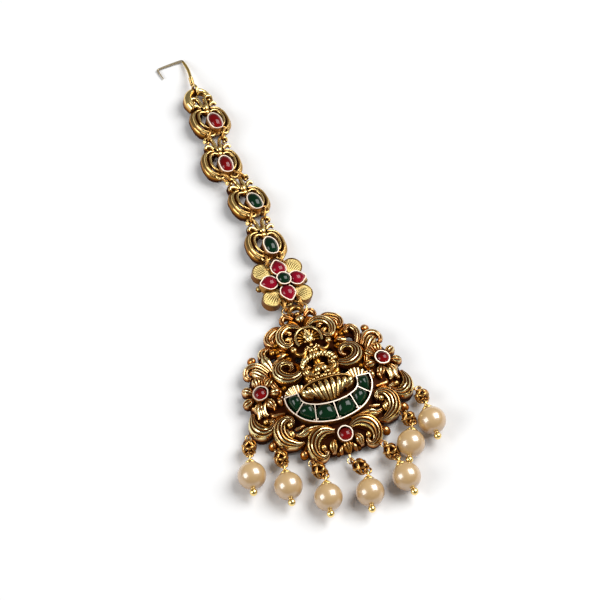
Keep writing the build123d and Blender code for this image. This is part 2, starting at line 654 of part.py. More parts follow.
for number, x, y, heading in DROPS:
    middle = Vector(x, y, PEARL_R)
    fall = Vector(sin(radians(heading)), -cos(radians(heading)), 0)
    across = fall.cross(Vector(0, 0, 1)).normalized()
    pin_plane = Plane(origin=middle, x_dir=across, z_dir=fall * -1)
    keep(f"pearl_{number}", pearl(), pin_plane.location)
    keep(f"head_pin_{number}", head_pin(), pin_plane.location)
    loop_at = middle - fall * LINK_AT
    lug_x, lug_y = LUGS[number][0]
    lug_at = (pendant_place * Location((lug_x, lug_y, LUG_Z))).position
    rise = lug_at - loop_at
    way = rise.normalized()
    level = way.cross(Vector(0, 0, 1)).normalized()
    knot_plane = Plane(origin=loop_at, x_dir=way.cross(level), z_dir=way)
    keep(f"knot_link_{number}", knot(rise.length), knot_plane.location)
    print(f"knot {number}: {rise.length:.2f} mm from loop to lug")

# ---------------------------------------------------------------- writing
everything = Compound(children=[solid.moved(Location()) for solid in pieces.values()])
box = everything.bounding_box()
to_origin = Location((-(box.min.X + box.max.X) / 2, -(box.min.Y + box.max.Y) / 2, -box.min.Z))
print(f"size {box.size}")
for corner in HOOK_ROUTE:
    print(f"hook corner {(to_origin * Location(corner)).position}")

os.makedirs("parts", exist_ok=True)
for name, solid in pieces.items():
    placed = solid.moved(to_origin)
    placed.label = name
    export_step(placed, f"parts/{name}.step")
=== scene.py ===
import bpy
from math import atan2, cos, pi, radians, sin, sqrt
from mathutils import Matrix, Vector


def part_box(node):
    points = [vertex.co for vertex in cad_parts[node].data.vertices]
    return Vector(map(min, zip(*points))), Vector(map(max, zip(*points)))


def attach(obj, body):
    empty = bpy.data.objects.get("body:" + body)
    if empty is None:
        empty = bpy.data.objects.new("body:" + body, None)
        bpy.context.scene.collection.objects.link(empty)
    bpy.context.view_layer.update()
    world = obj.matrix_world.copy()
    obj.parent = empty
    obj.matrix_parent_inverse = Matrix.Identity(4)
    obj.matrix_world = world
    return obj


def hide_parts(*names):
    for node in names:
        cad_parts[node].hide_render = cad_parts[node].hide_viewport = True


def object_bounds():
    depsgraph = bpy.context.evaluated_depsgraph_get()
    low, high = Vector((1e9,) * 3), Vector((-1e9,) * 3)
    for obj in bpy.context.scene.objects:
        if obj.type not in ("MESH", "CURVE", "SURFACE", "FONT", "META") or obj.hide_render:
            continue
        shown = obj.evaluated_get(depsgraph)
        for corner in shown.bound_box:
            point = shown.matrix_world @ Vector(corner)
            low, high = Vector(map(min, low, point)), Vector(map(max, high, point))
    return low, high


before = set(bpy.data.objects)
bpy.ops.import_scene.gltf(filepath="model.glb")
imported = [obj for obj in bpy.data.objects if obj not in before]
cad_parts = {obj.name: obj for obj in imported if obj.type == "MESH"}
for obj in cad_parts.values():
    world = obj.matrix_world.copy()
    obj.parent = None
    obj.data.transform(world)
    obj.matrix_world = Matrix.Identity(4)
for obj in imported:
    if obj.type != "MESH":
        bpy.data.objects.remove(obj)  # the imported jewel, one body lying face up on the table
cad_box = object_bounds()

# ---------------- table, light and camera
# The jewel lies on a plain white table under one large soft light, high and a little to the
# right, and a smaller one low on the left. Nothing here belongs to the jewel.
MM = 0.001
CAMERA_AZIMUTH, CAMERA_ELEVATION = -20, 60  # degrees
CAMERA_DISTANCE, CAMERA_LENS = 500 * MM, 137.7
CAMERA_AIM = (4.45, -7.686)  # mm, from the middle of the jewel
LIGHT_DISTANCE = 0.8  # metres
LIGHTS = [  # name, the way to it from the jewel, size in metres, power in watts
    ("key_light", (0.60, 0.03, 0.80), 0.6, 7.7),
    ("fill_light", (-0.83, -0.04, 0.56), 0.45, 3.8),
]
ROOM_LIGHT = 0.18
TABLE_SIZE, TABLE_GREY = 3.0, 0.80


def alone():
    """Nothing is selected, so that the next operator works on one new object."""
    for thing in bpy.context.selected_objects:
        thing.select_set(False)


for name, way, size, power in LIGHTS:
    way = Vector(way)
    alone()
    turn = way.to_track_quat("Z", "Y").to_euler()
    bpy.ops.object.light_add(type="AREA", location=way.normalized() * LIGHT_DISTANCE, rotation=turn)
    lamp = bpy.context.object
    lamp.name = name
    lamp.data.size, lamp.data.energy = size, power

room = bpy.data.worlds.new("room")
room.use_nodes = True
glow = room.node_tree.nodes["Background"].inputs
glow["Color"].default_value = (1, 1, 1, 1)
glow["Strength"].default_value = ROOM_LIGHT
bpy.context.scene.world = room
bpy.context.scene.view_settings.view_transform = "Standard"

low, high = cad_box
middle = (low + high) / 2
aim = Vector((middle.x + CAMERA_AIM[0] * MM, middle.y + CAMERA_AIM[1] * MM, 0))
rise, swing = radians(CAMERA_ELEVATION), radians(CAMERA_AZIMUTH)
camera_way = Vector((sin(swing) * cos(rise), -cos(swing) * cos(rise), sin(rise)))
alone()
bpy.ops.object.camera_add(
    location=aim + camera_way * CAMERA_DISTANCE, rotation=(radians(90 - CAMERA_ELEVATION), 0, swing)
)
camera = bpy.context.object
camera.data.lens = CAMERA_LENS
camera.data.clip_start = 10 * MM
bpy.context.scene.camera = camera

alone()
bpy.ops.mesh.primitive_plane_add(size=TABLE_SIZE)
table = bpy.context.object
table.name = "table"
paper = bpy.data.materials.new("white paper")
paper.use_nodes = True
coat = paper.node_tree.nodes["Principled BSDF"].inputs
coat["Base Color"].default_value = (TABLE_GREY, TABLE_GREY, TABLE_GREY, 1)
coat["Roughness"].default_value = 0.8
table.data.materials.append(paper)

# ---------------- pendant: backing plate
# The back of the pendant is one cast sheet of gold-plated brass, bowed like a shallow dome and
# pierced where the table shows between the scrolls. Everything on its face is soldered to it.
DOME_RADIUS, DOME_Y, DOME_RIM = 55.0, -21.0, 19.5  # mm, of the hollow back, in the pendant's drawing
DOME_END = 1.25  # past the rim the bow goes on to this share of its squared radius, then runs level
PLATE_THICK, PLATE_GRAIN = 1.0, 0.35
PLATE_EDGE = [
    (0, -3.6), (1.3, -4.5), (4.0, -6.4), (7.8, -9.0), (10.4, -12.2), (13.9, -15.3),
    (16.2, -20.0), (16.8, -24.5), (17.0, -27.8), (14.9, -29.8), (13.2, -31.4),
    (11.3, -33.7), (8.3, -35.8), (6.3, -38.2), (0, -39.0),
]
PIERCINGS = [(8.5, -14.4, 0.9), (3.4, -16.0, 0.8), (4.9, -21.8, 0.8), (8.7, -31.0, 0.9)]
RUBY_X, RUBY_Y = 13.65, -21.3  # the right side ruby's place in the drawing


def centre(node):
    """The middle of a CAD node."""
    low_corner, high_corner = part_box(node)
    return (low_corner + high_corner) / 2


def back_height(x, y):
    """Height of the dome's hollow side over the table, in mm, at a place of the drawing."""
    from_top = min(x * x + (y - DOME_Y) ** 2, DOME_RIM**2 * DOME_END)
    return sqrt(DOME_RADIUS**2 - from_top) - sqrt(DOME_RADIUS**2 - DOME_RIM**2)


left_ruby, right_ruby = centre("pendant_ruby_1"), centre("pendant_ruby_2")
pendant_turn = atan2(right_ruby.y - left_ruby.y, right_ruby.x - left_ruby.x)
pendant_place = (
    Matrix.Translation(((left_ruby.x + right_ruby.x) / 2, (left_ruby.y + right_ruby.y) / 2, 0))
    @ Matrix.Rotation(pendant_turn, 4, "Z")
    @ Matrix.Translation((0, -RUBY_Y * MM, 0))
)


def with_levels(piece, level=lambda place: place.z):
    """Each point keeps how high it stands on its own piece, which sets how worn its gold is."""
    height = piece.data.attributes.new("level", "FLOAT", "POINT")
    for vertex, mark in zip(piece.data.vertices, height.data):
        mark.value = level(vertex.co) / MM
    return piece


def on_the_dome(piece):
    """A piece drawn flat is bowed over the dome and laid where the pendant lies."""
    with_levels(piece)
    for vertex in piece.data.vertices:
        vertex.co.z += back_height(vertex.co.x / MM, vertex.co.y / MM) * MM
    piece.data.transform(pendant_place)
    return piece


def take(piece):
    """Only this piece is selected, and it is the active one."""
    alone()
    piece.select_set(True)
    bpy.context.view_layer.objects.active = piece


def outward(piece, angle):
    """Faces point outwards, and only edges sharper than the angle stay crisp."""
    take(piece)
    bpy.ops.object.mode_set(mode="EDIT")
    bpy.ops.mesh.select_all(action="SELECT")
    bpy.ops.mesh.normals_make_consistent(inside=False)
    bpy.ops.object.mode_set(mode="OBJECT")
    bpy.ops.object.shade_smooth_by_angle(angle=radians(angle))


def closed_line(curve, points):
    """A closed line through the points, in mm, is drawn on a flat curve."""
    spline = curve.splines.new("POLY")
    spline.points.add(len(points) - 1)
    spline.use_cyclic_u = True
    for point, (x, y) in zip(spline.points, points):
        point.co = (x * MM, y * MM, 0, 1)


def mesh_of(name, curve):
    """A curve is laid in the scene and made a mesh."""
    piece = bpy.data.objects.new(name, curve)
    bpy.context.collection.objects.link(piece)
    take(piece)
    bpy.ops.object.convert(target="MESH")
    piece = bpy.context.object
    piece.name = piece.data.name = name
    return piece


def backing_plate():
    """The pierced sheet: its outline filled flat, thickened, evened out and bowed."""
    sheet = bpy.data.curves.new("sheet", "CURVE")
    sheet.dimensions, sheet.fill_mode = "2D", "BOTH"
    sheet.extrude = PLATE_THICK / 2 * MM
    closed_line(sheet, PLATE_EDGE + [(-x, y) for x, y in reversed(PLATE_EDGE[1:-1])])
    corners = [k * pi / 6 for k in range(12)]
    for x, y, r in PIERCINGS:
        for side in (1, -1):
            closed_line(sheet, [(side * x + r * cos(a), y + r * sin(a)) for a in corners])
    plate = mesh_of("pendant_plate", sheet)
    plate.data.transform(Matrix.Translation((0, 0, PLATE_THICK / 2 * MM)))
    remesh = plate.modifiers.new("even", "REMESH")
    remesh.mode, remesh.voxel_size = "VOXEL", PLATE_GRAIN * MM
    ease = plate.modifiers.new("ease", "SMOOTH")
    ease.iterations, ease.factor = 4, 0.5
    for modifier in ("even", "ease"):
        bpy.ops.object.modifier_apply(modifier=modifier)
    return on_the_dome(plate)


class Paint:
    """A value or colour in a finish; arithmetic on it adds Math nodes."""

    def __init__(self, tree, socket=None):
        self.tree, self.socket = tree, socket

    def node(self, kind, settings=None, inputs=None, output=0):
        """Any other node: its settings first, then the values or links of its sockets."""
        made = self.tree.nodes.new(kind)
        for name, value in (settings or {}).items():
            setattr(made, name, value)
        for name, value in (inputs or {}).items():
            socket = made.inputs[name]
            if isinstance(value, Paint):
                self.tree.links.new(value.socket, socket)
            elif isinstance(value, tuple):
                socket.default_value = (*value, 1)
            else:
                socket.default_value = value
        return Paint(self.tree, made.outputs[output])

    def maths(self, operation, *values):
        """A Math node with its values in order."""
        return self.node("ShaderNodeMath", {"operation": operation}, dict(enumerate(values)))

    def __add__(self, other):
        return self.maths("ADD", self, other)

    def __sub__(self, other):
        return self.maths("SUBTRACT", self, other)

    def __rsub__(self, other):
        return self.maths("SUBTRACT", other, self)

    def __mul__(self, other):
        return self.maths("MULTIPLY", self, other)

    __radd__ = __add__
    __rmul__ = __mul__

    def between(self, low, high):
        """0 below the low value, 1 above the high one."""
        return self.node("ShaderNodeMapRange", {}, {"Value": self, "From Min": low, "From Max": high})

    def mix(self, first, second):
        """A colour between two, the second where this value is 1."""
        inputs = {0: self, 6: first, 7: second}  # its factor and its two colour sockets
        return self.node("ShaderNodeMix", {"data_type": "RGBA"}, inputs, 2)

    def cloud(self, scale, detail):
        """Soft noise from 0 to 1 on the piece's own place, with its scale per metre."""
        place = self.node("ShaderNodeTexCoord", output="Object")
        inputs = {"Vector": place, "Scale": scale, "Detail": detail, "Roughness": 0.55}
        return self.node("ShaderNodeTexNoise", {}, inputs)

    def openness(self, reach):
        """1 on open faces and lower where walls stand nearer than the reach, in mm."""
        inputs = {"Distance": reach * MM}
        return self.node("ShaderNodeAmbientOcclusion", {"samples": 8}, inputs, "AO")

    def facing(self, axis):
        """How far a face looks along X, Y or Z, from -1 to 1."""
        way = self.node("ShaderNodeTexCoord", output="Normal")
        return self.node("ShaderNodeSeparateXYZ", {}, {"Vector": way}, axis)

    def bump(self, strength, scale, detail):
        """A grain too fine to model, 0.05 mm deep."""
        inputs = {"Strength": strength, "Distance": 0.05 * MM, "Height": self.cloud(scale, detail)}
        return self.node("ShaderNodeBump", {}, inputs)


def finish_of(name, **constants):
    """A new material, a paint to build its pattern from, and a way to link its shader's sockets."""
    material = bpy.data.materials.new(name)
    material.use_nodes = True
    shader = material.node_tree.nodes["Principled BSDF"]
    for socket, value in constants.items():
        shader.inputs[socket.replace("_", " ")].default_value = value

    def link(**paints):
        for socket, paint in paints.items():
            material.node_tree.links.new(paint.socket, shader.inputs[socket.replace("_", " ")])

    return material, Paint(material.node_tree), link


LACQUER = (0.040, 0.008, 0.001)
TABLE_GAP = 0.02  # mm


def antique_gold(name, reach, low, high, mid, worn):
    """Gold plate worn pale on the high places, with brown lacquer left in the hollows."""
    material, paint, link = finish_of(name, Specular_IOR_Level=0.03)
    cloud = paint.cloud(1100, 4.0)
    level = paint.node("ShaderNodeAttribute", {"attribute_name": "level"}, output="Fac")
    raised = level.between(low, high)
    open_place = paint.openness(reach) + (cloud - 0.5) * 0.30
    wear = raised.between(0.0, 0.40) * open_place.between(0.30, 0.72)
    rubbed = raised.between(0.38, 0.90) * open_place.between(0.60, 0.92)
    link(
        Base_Color=wear.mix(LACQUER, rubbed.mix(mid, worn)),
        Metallic=wear * 0.85 + 0.15,
        Roughness=0.50 - wear * 0.22 - rubbed * 0.08 + (cloud - 0.5) * 0.12,
        Normal=paint.bump(0.12, 3600, 3.0),
    )
    return material


def finished(piece, angle, material, slot, *nodes):
    """The piece is smoothed, gets its finish, rests on the table and stands for CAD nodes."""
    outward(piece, angle)
    for vertex in piece.data.vertices:
        vertex.co.z = max(vertex.co.z, TABLE_GAP * MM)
    piece.data.materials.clear()
    piece.data.materials.append(material)
    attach(piece, "root")
    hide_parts(*nodes)


cast_gold = antique_gold("cast gold", 0.6, 1.25, 3.0, (0.50, 0.145, 0.006), (1.0, 0.90, 0.48))
finished(backing_plate(), 45, cast_gold, "antique_gold", "pendant_frame")

# ---------------- pendant: scrolls and leaves
# Scrolls, leaves and curls are cast ribbed strips, thick in the middle and tapering to curled
# ends, that stand off the plate at three levels. The left half mirrors the right.
SCROLLS = [  # name, ribs, lift over the back, run of (x, y, width)
    ("big spiral", 4, 2.0, [
        (2.9, -19.0, 0.5), (4.2, -19.9, 1.5), (5.8, -20.6, 2.1), (7.6, -20.2, 2.5), (8.7, -18.9, 2.5),
        (8.7, -17.4, 2.1), (7.6, -16.4, 1.7), (6.2, -16.5, 1.3), (5.5, -17.4, 1.0), (5.8, -18.3, 0.8),
        (6.4, -18.6, 0.5)]),
    ("crown leaf", 2, 1.6, [
        (1.3, -5.8, 0.7), (2.0, -4.9, 1.1), (3.0, -4.5, 1.3), (3.6, -5.2, 1.2), (3.6, -6.5, 0.7)]),
    ("crown stem", 2, 1.4, [(0.6, -9.0, 0.7), (1.3, -7.2, 1.1), (2.2, -6.2, 0.9)]),
    ("shoulder leaf", 3, 1.6, [
        (4.3, -7.4, 0.9), (5.5, -7.1, 1.5), (6.8, -7.6, 1.8), (7.9, -8.5, 1.7), (8.2, -9.6, 1.5),
        (7.8, -10.6, 1.2), (7.0, -11.2, 0.9), (6.2, -11.4, 0.5)]),
    ("collar curl", 3, 2.2, [
        (0.4, -9.6, 0.5), (1.5, -8.5, 1.2), (3.0, -7.9, 1.7), (4.7, -8.5, 1.9), (5.7, -10.0, 1.8),
        (5.7, -11.6, 1.6), (4.9, -12.7, 1.4), (3.8, -12.5, 1.1), (3.4, -11.5, 0.9), (4.1, -10.8, 0.7)]),
    ("collar leaf", 1, 2.0, [(4.2, -9.3, 0.6), (3.5, -9.2, 0.8), (2.8, -9.6, 0.4)]),
    ("collar bud", 1, 2.0, [(4.6, -10.8, 0.6), (4.1, -11.0, 0.9), (3.7, -11.6, 0.5)]),
    ("outer curl", 2, 1.8, [
        (10.4, -17.0, 0.9), (10.9, -16.2, 1.1), (11.7, -14.9, 1.3), (13.0, -14.1, 1.4), (14.2, -14.2, 1.3),
        (15.0, -15.1, 1.2), (15.0, -16.3, 1.0), (14.3, -16.9, 0.7)]),
    ("outer curl leaf", 1, 1.8, [(12.6, -15.4, 0.5), (13.4, -16.0, 1.0), (13.8, -16.9, 0.5)]),
    ("fan leaf", 3, 1.6, [(10.9, -17.2, 0.7), (11.8, -17.6, 1.4), (12.5, -18.6, 1.2), (12.6, -19.4, 0.6)]),
    ("upper rim scroll", 4, 1.9, [
        (16.6, -24.8, 0.8), (17.1, -26.4, 1.8), (17.0, -28.1, 2.6), (15.9, -29.5, 2.8), (14.5, -29.7, 2.1),
        (13.4, -29.1, 1.5), (12.95, -28.3, 1.1), (13.7, -27.7, 1.0), (14.7, -27.8, 0.8)]),
    ("middle rim scroll", 4, 2.0, [
        (9.7, -30.3, 1.1), (9.4, -29.4, 1.2), (10.1, -28.8, 1.4), (11.3, -29.0, 2.0), (12.3, -30.1, 2.7),
        (12.6, -31.6, 2.9), (12.1, -33.1, 2.7), (10.9, -34.1, 2.1), (9.5, -34.7, 1.3), (8.3, -34.6, 0.5)]),
    ("lower rim scroll", 4, 1.9, [
        (1.7, -34.4, 1.0), (3.6, -33.9, 2.2), (5.3, -34.3, 2.9), (6.6, -35.5, 3.0), (6.9, -37.2, 2.6),
        (6.2, -38.5, 1.8), (5.2, -38.9, 1.3), (4.5, -38.2, 1.0), (4.85, -37.4, 0.8)]),
    ("nest leaf", 3, 1.5, [(9.3, -22.0, 0.6), (10.2, -21.0, 1.4), (10.5, -19.6, 1.4), (10.0, -18.2, 0.7)]),
    ("side leaf", 1, 2.0, [(5.8, -14.3, 0.5), (6.7, -14.6, 0.9), (7.7, -14.9, 0.6)]),
    ("bud, outer lobe", 1, 1.9, [
        (16.1, -23.4, 0.6), (15.2, -24.5, 1.2), (15.2, -25.7, 1.1), (15.7, -26.4, 0.6)]),
    ("bud, inner lobe", 1, 1.9, [
        (13.2, -23.4, 0.6), (14.0, -24.5, 1.2), (14.1, -25.7, 1.1), (13.6, -26.4, 0.6)]),
    ("tail leaf", 2, 2.0, [
        (9.7, -32.5, 0.6), (8.5, -33.0, 1.1), (7.2, -32.8, 1.7), (6.0, -32.6, 1.2), (4.5, -32.6, 0.7),
        (2.6, -32.9, 0.4)]),
    ("tail strand", 1, 1.9, [(7.2, -31.2, 0.4), (8.3, -31.4, 0.7), (9.4, -31.5, 0.5)]),
    ("inner bud", 1, 2.2, [(10.9, -30.9, 0.5), (10.9, -31.9, 1.1), (10.8, -32.9, 0.6)]),
    ("foot bud", 3, 2.0, [(2.3, -36.2, 0.8), (2.9, -37.4, 1.9), (3.1, -38.7, 0.8)]),
    ("tip bud", 1, 1.7, [(1.0, -37.7, 0.7), (1.5, -38.5, 1.0), (1.7, -39.3, 0.5)]),
    ("twig", 1, 1.7, [(10.2, -27.2, 0.5), (11.4, -27.0, 0.7), (12.6, -26.8, 0.9), (12.9, -26.1, 0.5)]),
    ("small leaf", 1, 1.7, [(10.1, -25.3, 0.4), (10.3, -24.4, 1.1), (10.5, -23.4, 0.5)]),
    ("small leaf, outer", 1, 1.7, [(11.9, -25.7, 0.4), (11.7, -24.7, 1.0), (11.6, -23.8, 0.4)]),
    ("arm pit leaf", 2, 1.4, [(4.9, -15.4, 0.5), (5.6, -15.9, 0.9), (6.3, -15.6, 0.5)]),
    ("hip leaf", 2, 1.4, [(4.6, -17.0, 0.5), (4.2, -18.0, 0.9), (4.5, -19.0, 0.5)]),
    ("shoulder filling", 3, 1.5, [
        (5.4, -8.6, 0.7), (6.5, -8.9, 1.8), (7.2, -9.8, 1.7), (7.1, -10.9, 0.8)]),
    ("curl filling", 3, 1.6, [
        (10.7, -18.9, 0.7), (12.0, -17.3, 2.0), (13.3, -15.9, 2.1), (14.2, -15.4, 0.9)]),
    ("fan strand, upper", 1, 1.5, [(5.5, -13.5, 0.5), (6.2, -12.7, 1.0), (6.8, -11.8, 0.5)]),
    ("fan strand, lower", 1, 1.5, [(5.2, -14.4, 0.5), (6.5, -13.9, 1.1), (7.6, -13.8, 0.5)]),
    ("fan strand, outer", 1, 1.4, [(6.9, -12.4, 0.5), (7.9, -11.9, 1.0), (8.7, -12.0, 0.5)]),
    ("nest filling", 2, 1.4, [(9.9, -23.3, 0.5), (9.8, -22.3, 1.2), (9.2, -21.4, 0.6)]),
    ("under leaf", 2, 1.4, [(10.2, -28.2, 0.5), (11.6, -27.8, 1.1), (13.0, -28.4, 0.6)]),
    ("rim filling", 2, 1.4, [(14.1, -26.8, 0.5), (13.3, -28.4, 1.3), (13.1, -30.0, 0.7)]),
    ("spiral shoulder", 1, 1.4, [(5.0, -15.9, 0.5), (6.2, -15.5, 0.8), (7.6, -15.7, 0.5)]),
    ("back leaf", 2, 1.4, [(9.1, -15.9, 0.6), (9.9, -17.3, 1.2), (10.3, -18.9, 0.6)]),
    ("shoulder strand", 1, 1.3, [(8.9, -10.4, 0.5), (9.2, -11.2, 0.7), (8.9, -12.0, 0.4)]),
]
MOUND_FOOT_Y, MOUND_LIFT = -24.3, 2.0
MOUND_TOP = [(5.2, -22.9), (6.0, -22.5), (6.8, -22.4), (7.6, -22.6), (8.4, -23.1), (9.0, -23.8)]
RIGHT_ONLY = [  # the two leaves over the shoulders differ: a hooked one right, a trumpet left
    ("hooked leaf", 3, 1.8, [
        (9.6, -16.3, 1.0), (10.2, -15.0, 1.3), (10.6, -13.5, 1.5), (10.3, -12.3, 1.5), (9.5, -11.6, 1.4),
        (8.6, -11.9, 1.1), (8.0, -12.6, 1.0)]),
]
LEFT_ONLY = [
    ("trumpet mouth", 3, 1.8, [
        (-8.3, -11.5, 0.7), (-9.4, -11.5, 1.3), (-10.4, -12.2, 1.8), (-10.5, -13.4, 1.7)]),
    ("trumpet", 2, 2.0, [
        (-10.4, -13.2, 1.3), (-10.2, -14.6, 2.1), (-9.8, -16.0, 1.5), (-9.6, -17.3, 0.7)]),
    ("trumpet wire", 1, 2.0, [(-9.2, -15.7, 0.5), (-7.6, -14.9, 0.5), (-6.2, -14.2, 0.4)]),
]
SECTION_RISE, SECTION_SKIRT, SECTION_FOOT = 0.60, 0.75, 0.47  # of a strip one unit wide
CROWN_SHARE, CROWN_SWEEP = 0.6, 0.92  # how much of the rise is crown, and how far round it goes


def section_curve(name, outline):
    """An outline for strips to follow; it is never seen itself."""
    line = bpy.data.curves.new(name, "CURVE")
    line.dimensions = "2D"
    closed_line(line, outline)
    return bpy.data.objects.new(name, line)


def ribbed_section(ribs):
    """Outline of a strip cut across, one unit wide: half-round ribs on a crowned back."""
    steps = 5 * ribs if ribs > 1 else 9
    outline = [(SECTION_FOOT, -SECTION_SKIRT)]
    for k in range(steps + 1):
        u = k / steps
        crown = sqrt(1 - (2 * CROWN_SWEEP * u - CROWN_SWEEP) ** 2)
        rib = abs(sin(pi * ribs * u)) if ribs > 1 else crown
        rise = CROWN_SHARE * crown + (1 - CROWN_SHARE) * rib
        outline.append((0.5 - u, SECTION_RISE * rise))
    outline.append((-SECTION_FOOT, -SECTION_SKIRT))
    return section_curve(f"ribs_{ribs}", outline)


def strips(name, section, runs, steps=8, closed=False, twist="Z_UP"):
    """One mesh of strips bent from one section; a run is a row of (x, y, z, width) in mm."""
    line = bpy.data.curves.new(name, "CURVE")
    line.dimensions, line.twist_mode = "3D", twist
    line.bevel_mode, line.bevel_object = "OBJECT", section
    line.use_fill_caps, line.resolution_u = True, steps
    for run in runs:
        spline = line.splines.new("BEZIER")
        spline.bezier_points.add(len(run) - 1)
        spline.use_cyclic_u = closed
        spline.radius_interpolation = "CARDINAL"
        for point, (x, y, z, width) in zip(spline.bezier_points, run):
            point.co = Vector((x, y, z)) * MM
            point.radius = width
            point.handle_left_type = point.handle_right_type = "AUTO"
    return mesh_of(name, line)


def level_run(run, lift):
    """A run of the drawing, laid at one height."""
    return [(x, y, lift, width) for x, y, width in run]


def mirrored(run):
    """The same run on the other side of the drawing."""
    return [(-x, y, z, width) for x, y, z, width in reversed(run)]


def joined(name, parts):
    """Several meshes soldered into one piece with one name."""
    alone()
    for part in parts:
        part.select_set(True)
    bpy.context.view_layer.objects.active = parts[0]
    if len(parts) > 1:
        bpy.ops.object.join()
    piece = bpy.context.object
    piece.name = piece.data.name = name
    return piece


sections = {ribs: ribbed_section(ribs) for ribs in (1, 2, 3, 4)}
parts = []
for ribs in sections:
    right = [level_run(run, lift) for word, r, lift, run in SCROLLS if r == ribs]
    if ribs == 1:
        right += [
            [(0.7 * x + 1.9, MOUND_FOOT_Y, MOUND_LIFT, 0.8), (x, y, MOUND_LIFT, 0.95)]
            for x, y in MOUND_TOP
        ]
    odd = [level_run(run, lift) for word, r, lift, run in RIGHT_ONLY + LEFT_ONLY if r == ribs]
    parts.append(strips(f"scrolls_{ribs}", sections[ribs], right + [mirrored(run) for run in right] + odd))
scrolls = on_the_dome(joined("pendant_scrolls", parts))
finished(scrolls, 50, cast_gold, "antique_gold", "pendant_frame")

# ---------------- pendant: seated figure and lotus
# A small goddess sits on a lotus under a beaded garland, her raised hands holding buds and a
# halo of rays behind her crown. All of it is cast in the round and soldered to the plate.
FIGURE_BEADS = [  # name, x, y, lift over the back, half sizes; both sides where x > 0
    ("crown knop", 0, -6.7, 2.6, 0.95, 0.95, 0.9), ("crown bead", 0.0, -5.0, 2.3, 0.6, 0.55, 0.6),
    ("head", 0, -12.9, 3.15, 0.92, 1.12, 0.95), ("nose", 0, -12.98, 4.08, 0.13, 0.3, 0.16),
    ("chin", 0, -13.75, 3.6, 0.35, 0.25, 0.4), ("mouth", 0, -13.42, 3.98, 0.24, 0.07, 0.1),
    ("closed eye", 0.36, -12.78, 3.92, 0.22, 0.08, 0.1), ("brow", 0.36, -12.55, 3.95, 0.26, 0.06, 0.08),
    ("earring", 0.98, -13.3, 3.0, 0.24, 0.34, 0.26), ("hair", 0.7, -12.2, 3.25, 0.42, 0.5, 0.5),
    ("crown band", 0, -11.95, 3.25, 0.95, 0.26, 0.75), ("crown tier", 0, -11.45, 3.1, 0.75, 0.34, 0.7),
    ("crown tier", 0, -10.9, 3.0, 0.55, 0.34, 0.6), ("crown tip", 0, -10.4, 2.9, 0.32, 0.36, 0.45),
    ("neck", 0, -14.3, 2.7, 0.45, 0.6, 0.5), ("shoulder", 1.25, -15.1, 2.5, 0.62, 0.55, 0.6),
    ("chest", 0.5, -15.75, 2.6, 0.6, 0.62, 0.62), ("trunk", 0, -16.3, 2.1, 1.15, 1.5, 0.8),
    ("waist", 0, -18.2, 1.9, 0.85, 1.3, 0.75), ("hips", 0, -20.0, 1.9, 1.6, 1.1, 0.9),
    ("girdle", 0, -19.4, 2.4, 1.35, 0.3, 0.5), ("lotus bud", 3.85, -14.2, 2.4, 0.72, 0.75, 0.7),
    ("bracelet", 2.45, -19.5, 2.7, 0.5, 0.22, 0.5), ("anklet", 1.6, -22.1, 2.4, 0.3, 0.55, 0.5),
    ("collar bead", 3.3, -10.0, 2.4, 0.45, 0.4, 0.4), ("side bead", 7.0, -11.3, 2.0, 0.55, 0.5, 0.5),
    ("side bud", 8.3, -12.9, 2.2, 0.55, 0.6, 0.55), ("side bud", 7.2, -13.1, 1.9, 0.5, 0.45, 0.5),
    ("folded hand", 0.75, -20.7, 2.9, 0.7, 0.7, 0.6), ("lap fold", 1.1, -21.7, 2.8, 0.7, 0.4, 0.5),
    ("lap bead", 0.45, -22.5, 2.9, 0.42, 0.36, 0.42), ("lap bead", 1.35, -22.5, 2.8, 0.42, 0.36, 0.42),
    ("lap bead", 2.25, -22.6, 2.7, 0.42, 0.36, 0.42), ("lap bead", 3.15, -22.7, 2.6, 0.42, 0.36, 0.42),
    ("scroll end", 14.6, -27.7, 2.5, 0.55, 0.5, 0.5), ("scroll end", 10.1, -30.4, 2.6, 0.62, 0.6, 0.6),
    ("scroll end", 4.9, -37.2, 2.5, 0.6, 0.6, 0.6), ("tail bud", 10.35, -32.3, 2.5, 0.62, 0.85, 0.6),
    ("foot bead", 2.3, -38.9, 1.3, 0.5, 0.5, 0.5), ("nest bead", 5.6, -15.6, 1.9, 0.5, 0.4, 0.5),
    ("fan bead", 8.6, -21.9, 1.9, 0.5, 0.45, 0.5), ("seat knop", 0, -22.2, 2.6, 0.6, 0.4, 0.5),
]
FIGURE_STRIPS = [  # name, ribs, lift, run
    ("crown arch", 1, 2.2, [
        (-1.25, -4.9, 0.8), (-1.35, -3.6, 1.0), (0, -2.75, 1.1), (1.35, -3.6, 1.0), (1.25, -4.9, 0.8)]),
    ("halo rim", 1, 3.0, [
        (-2.5, -14.0, 0.5), (-2.75, -12.4, 0.5), (-1.9, -10.4, 0.5), (0, -9.7, 0.5), (1.9, -10.4, 0.5),
        (2.75, -12.4, 0.5), (2.5, -14.0, 0.5)]),
    ("seat rim", 1, 2.5, [
        (-5.7, -24.2, 0.4), (-4.2, -23.3, 0.5), (0, -22.9, 0.5), (4.2, -23.3, 0.5), (5.7, -24.2, 0.4)]),
    ("tip leaf", 3, 2.0, [(0.0, -36.9, 0.8), (0.0, -38.1, 2.1), (0.0, -39.5, 0.7)]),
    ("seat foot", 2, 1.6, [
        (-4.0, -27.3, 0.4), (-2.0, -28.1, 0.6), (0, -28.3, 0.7), (2.0, -28.1, 0.6), (4.0, -27.3, 0.4)]),
]
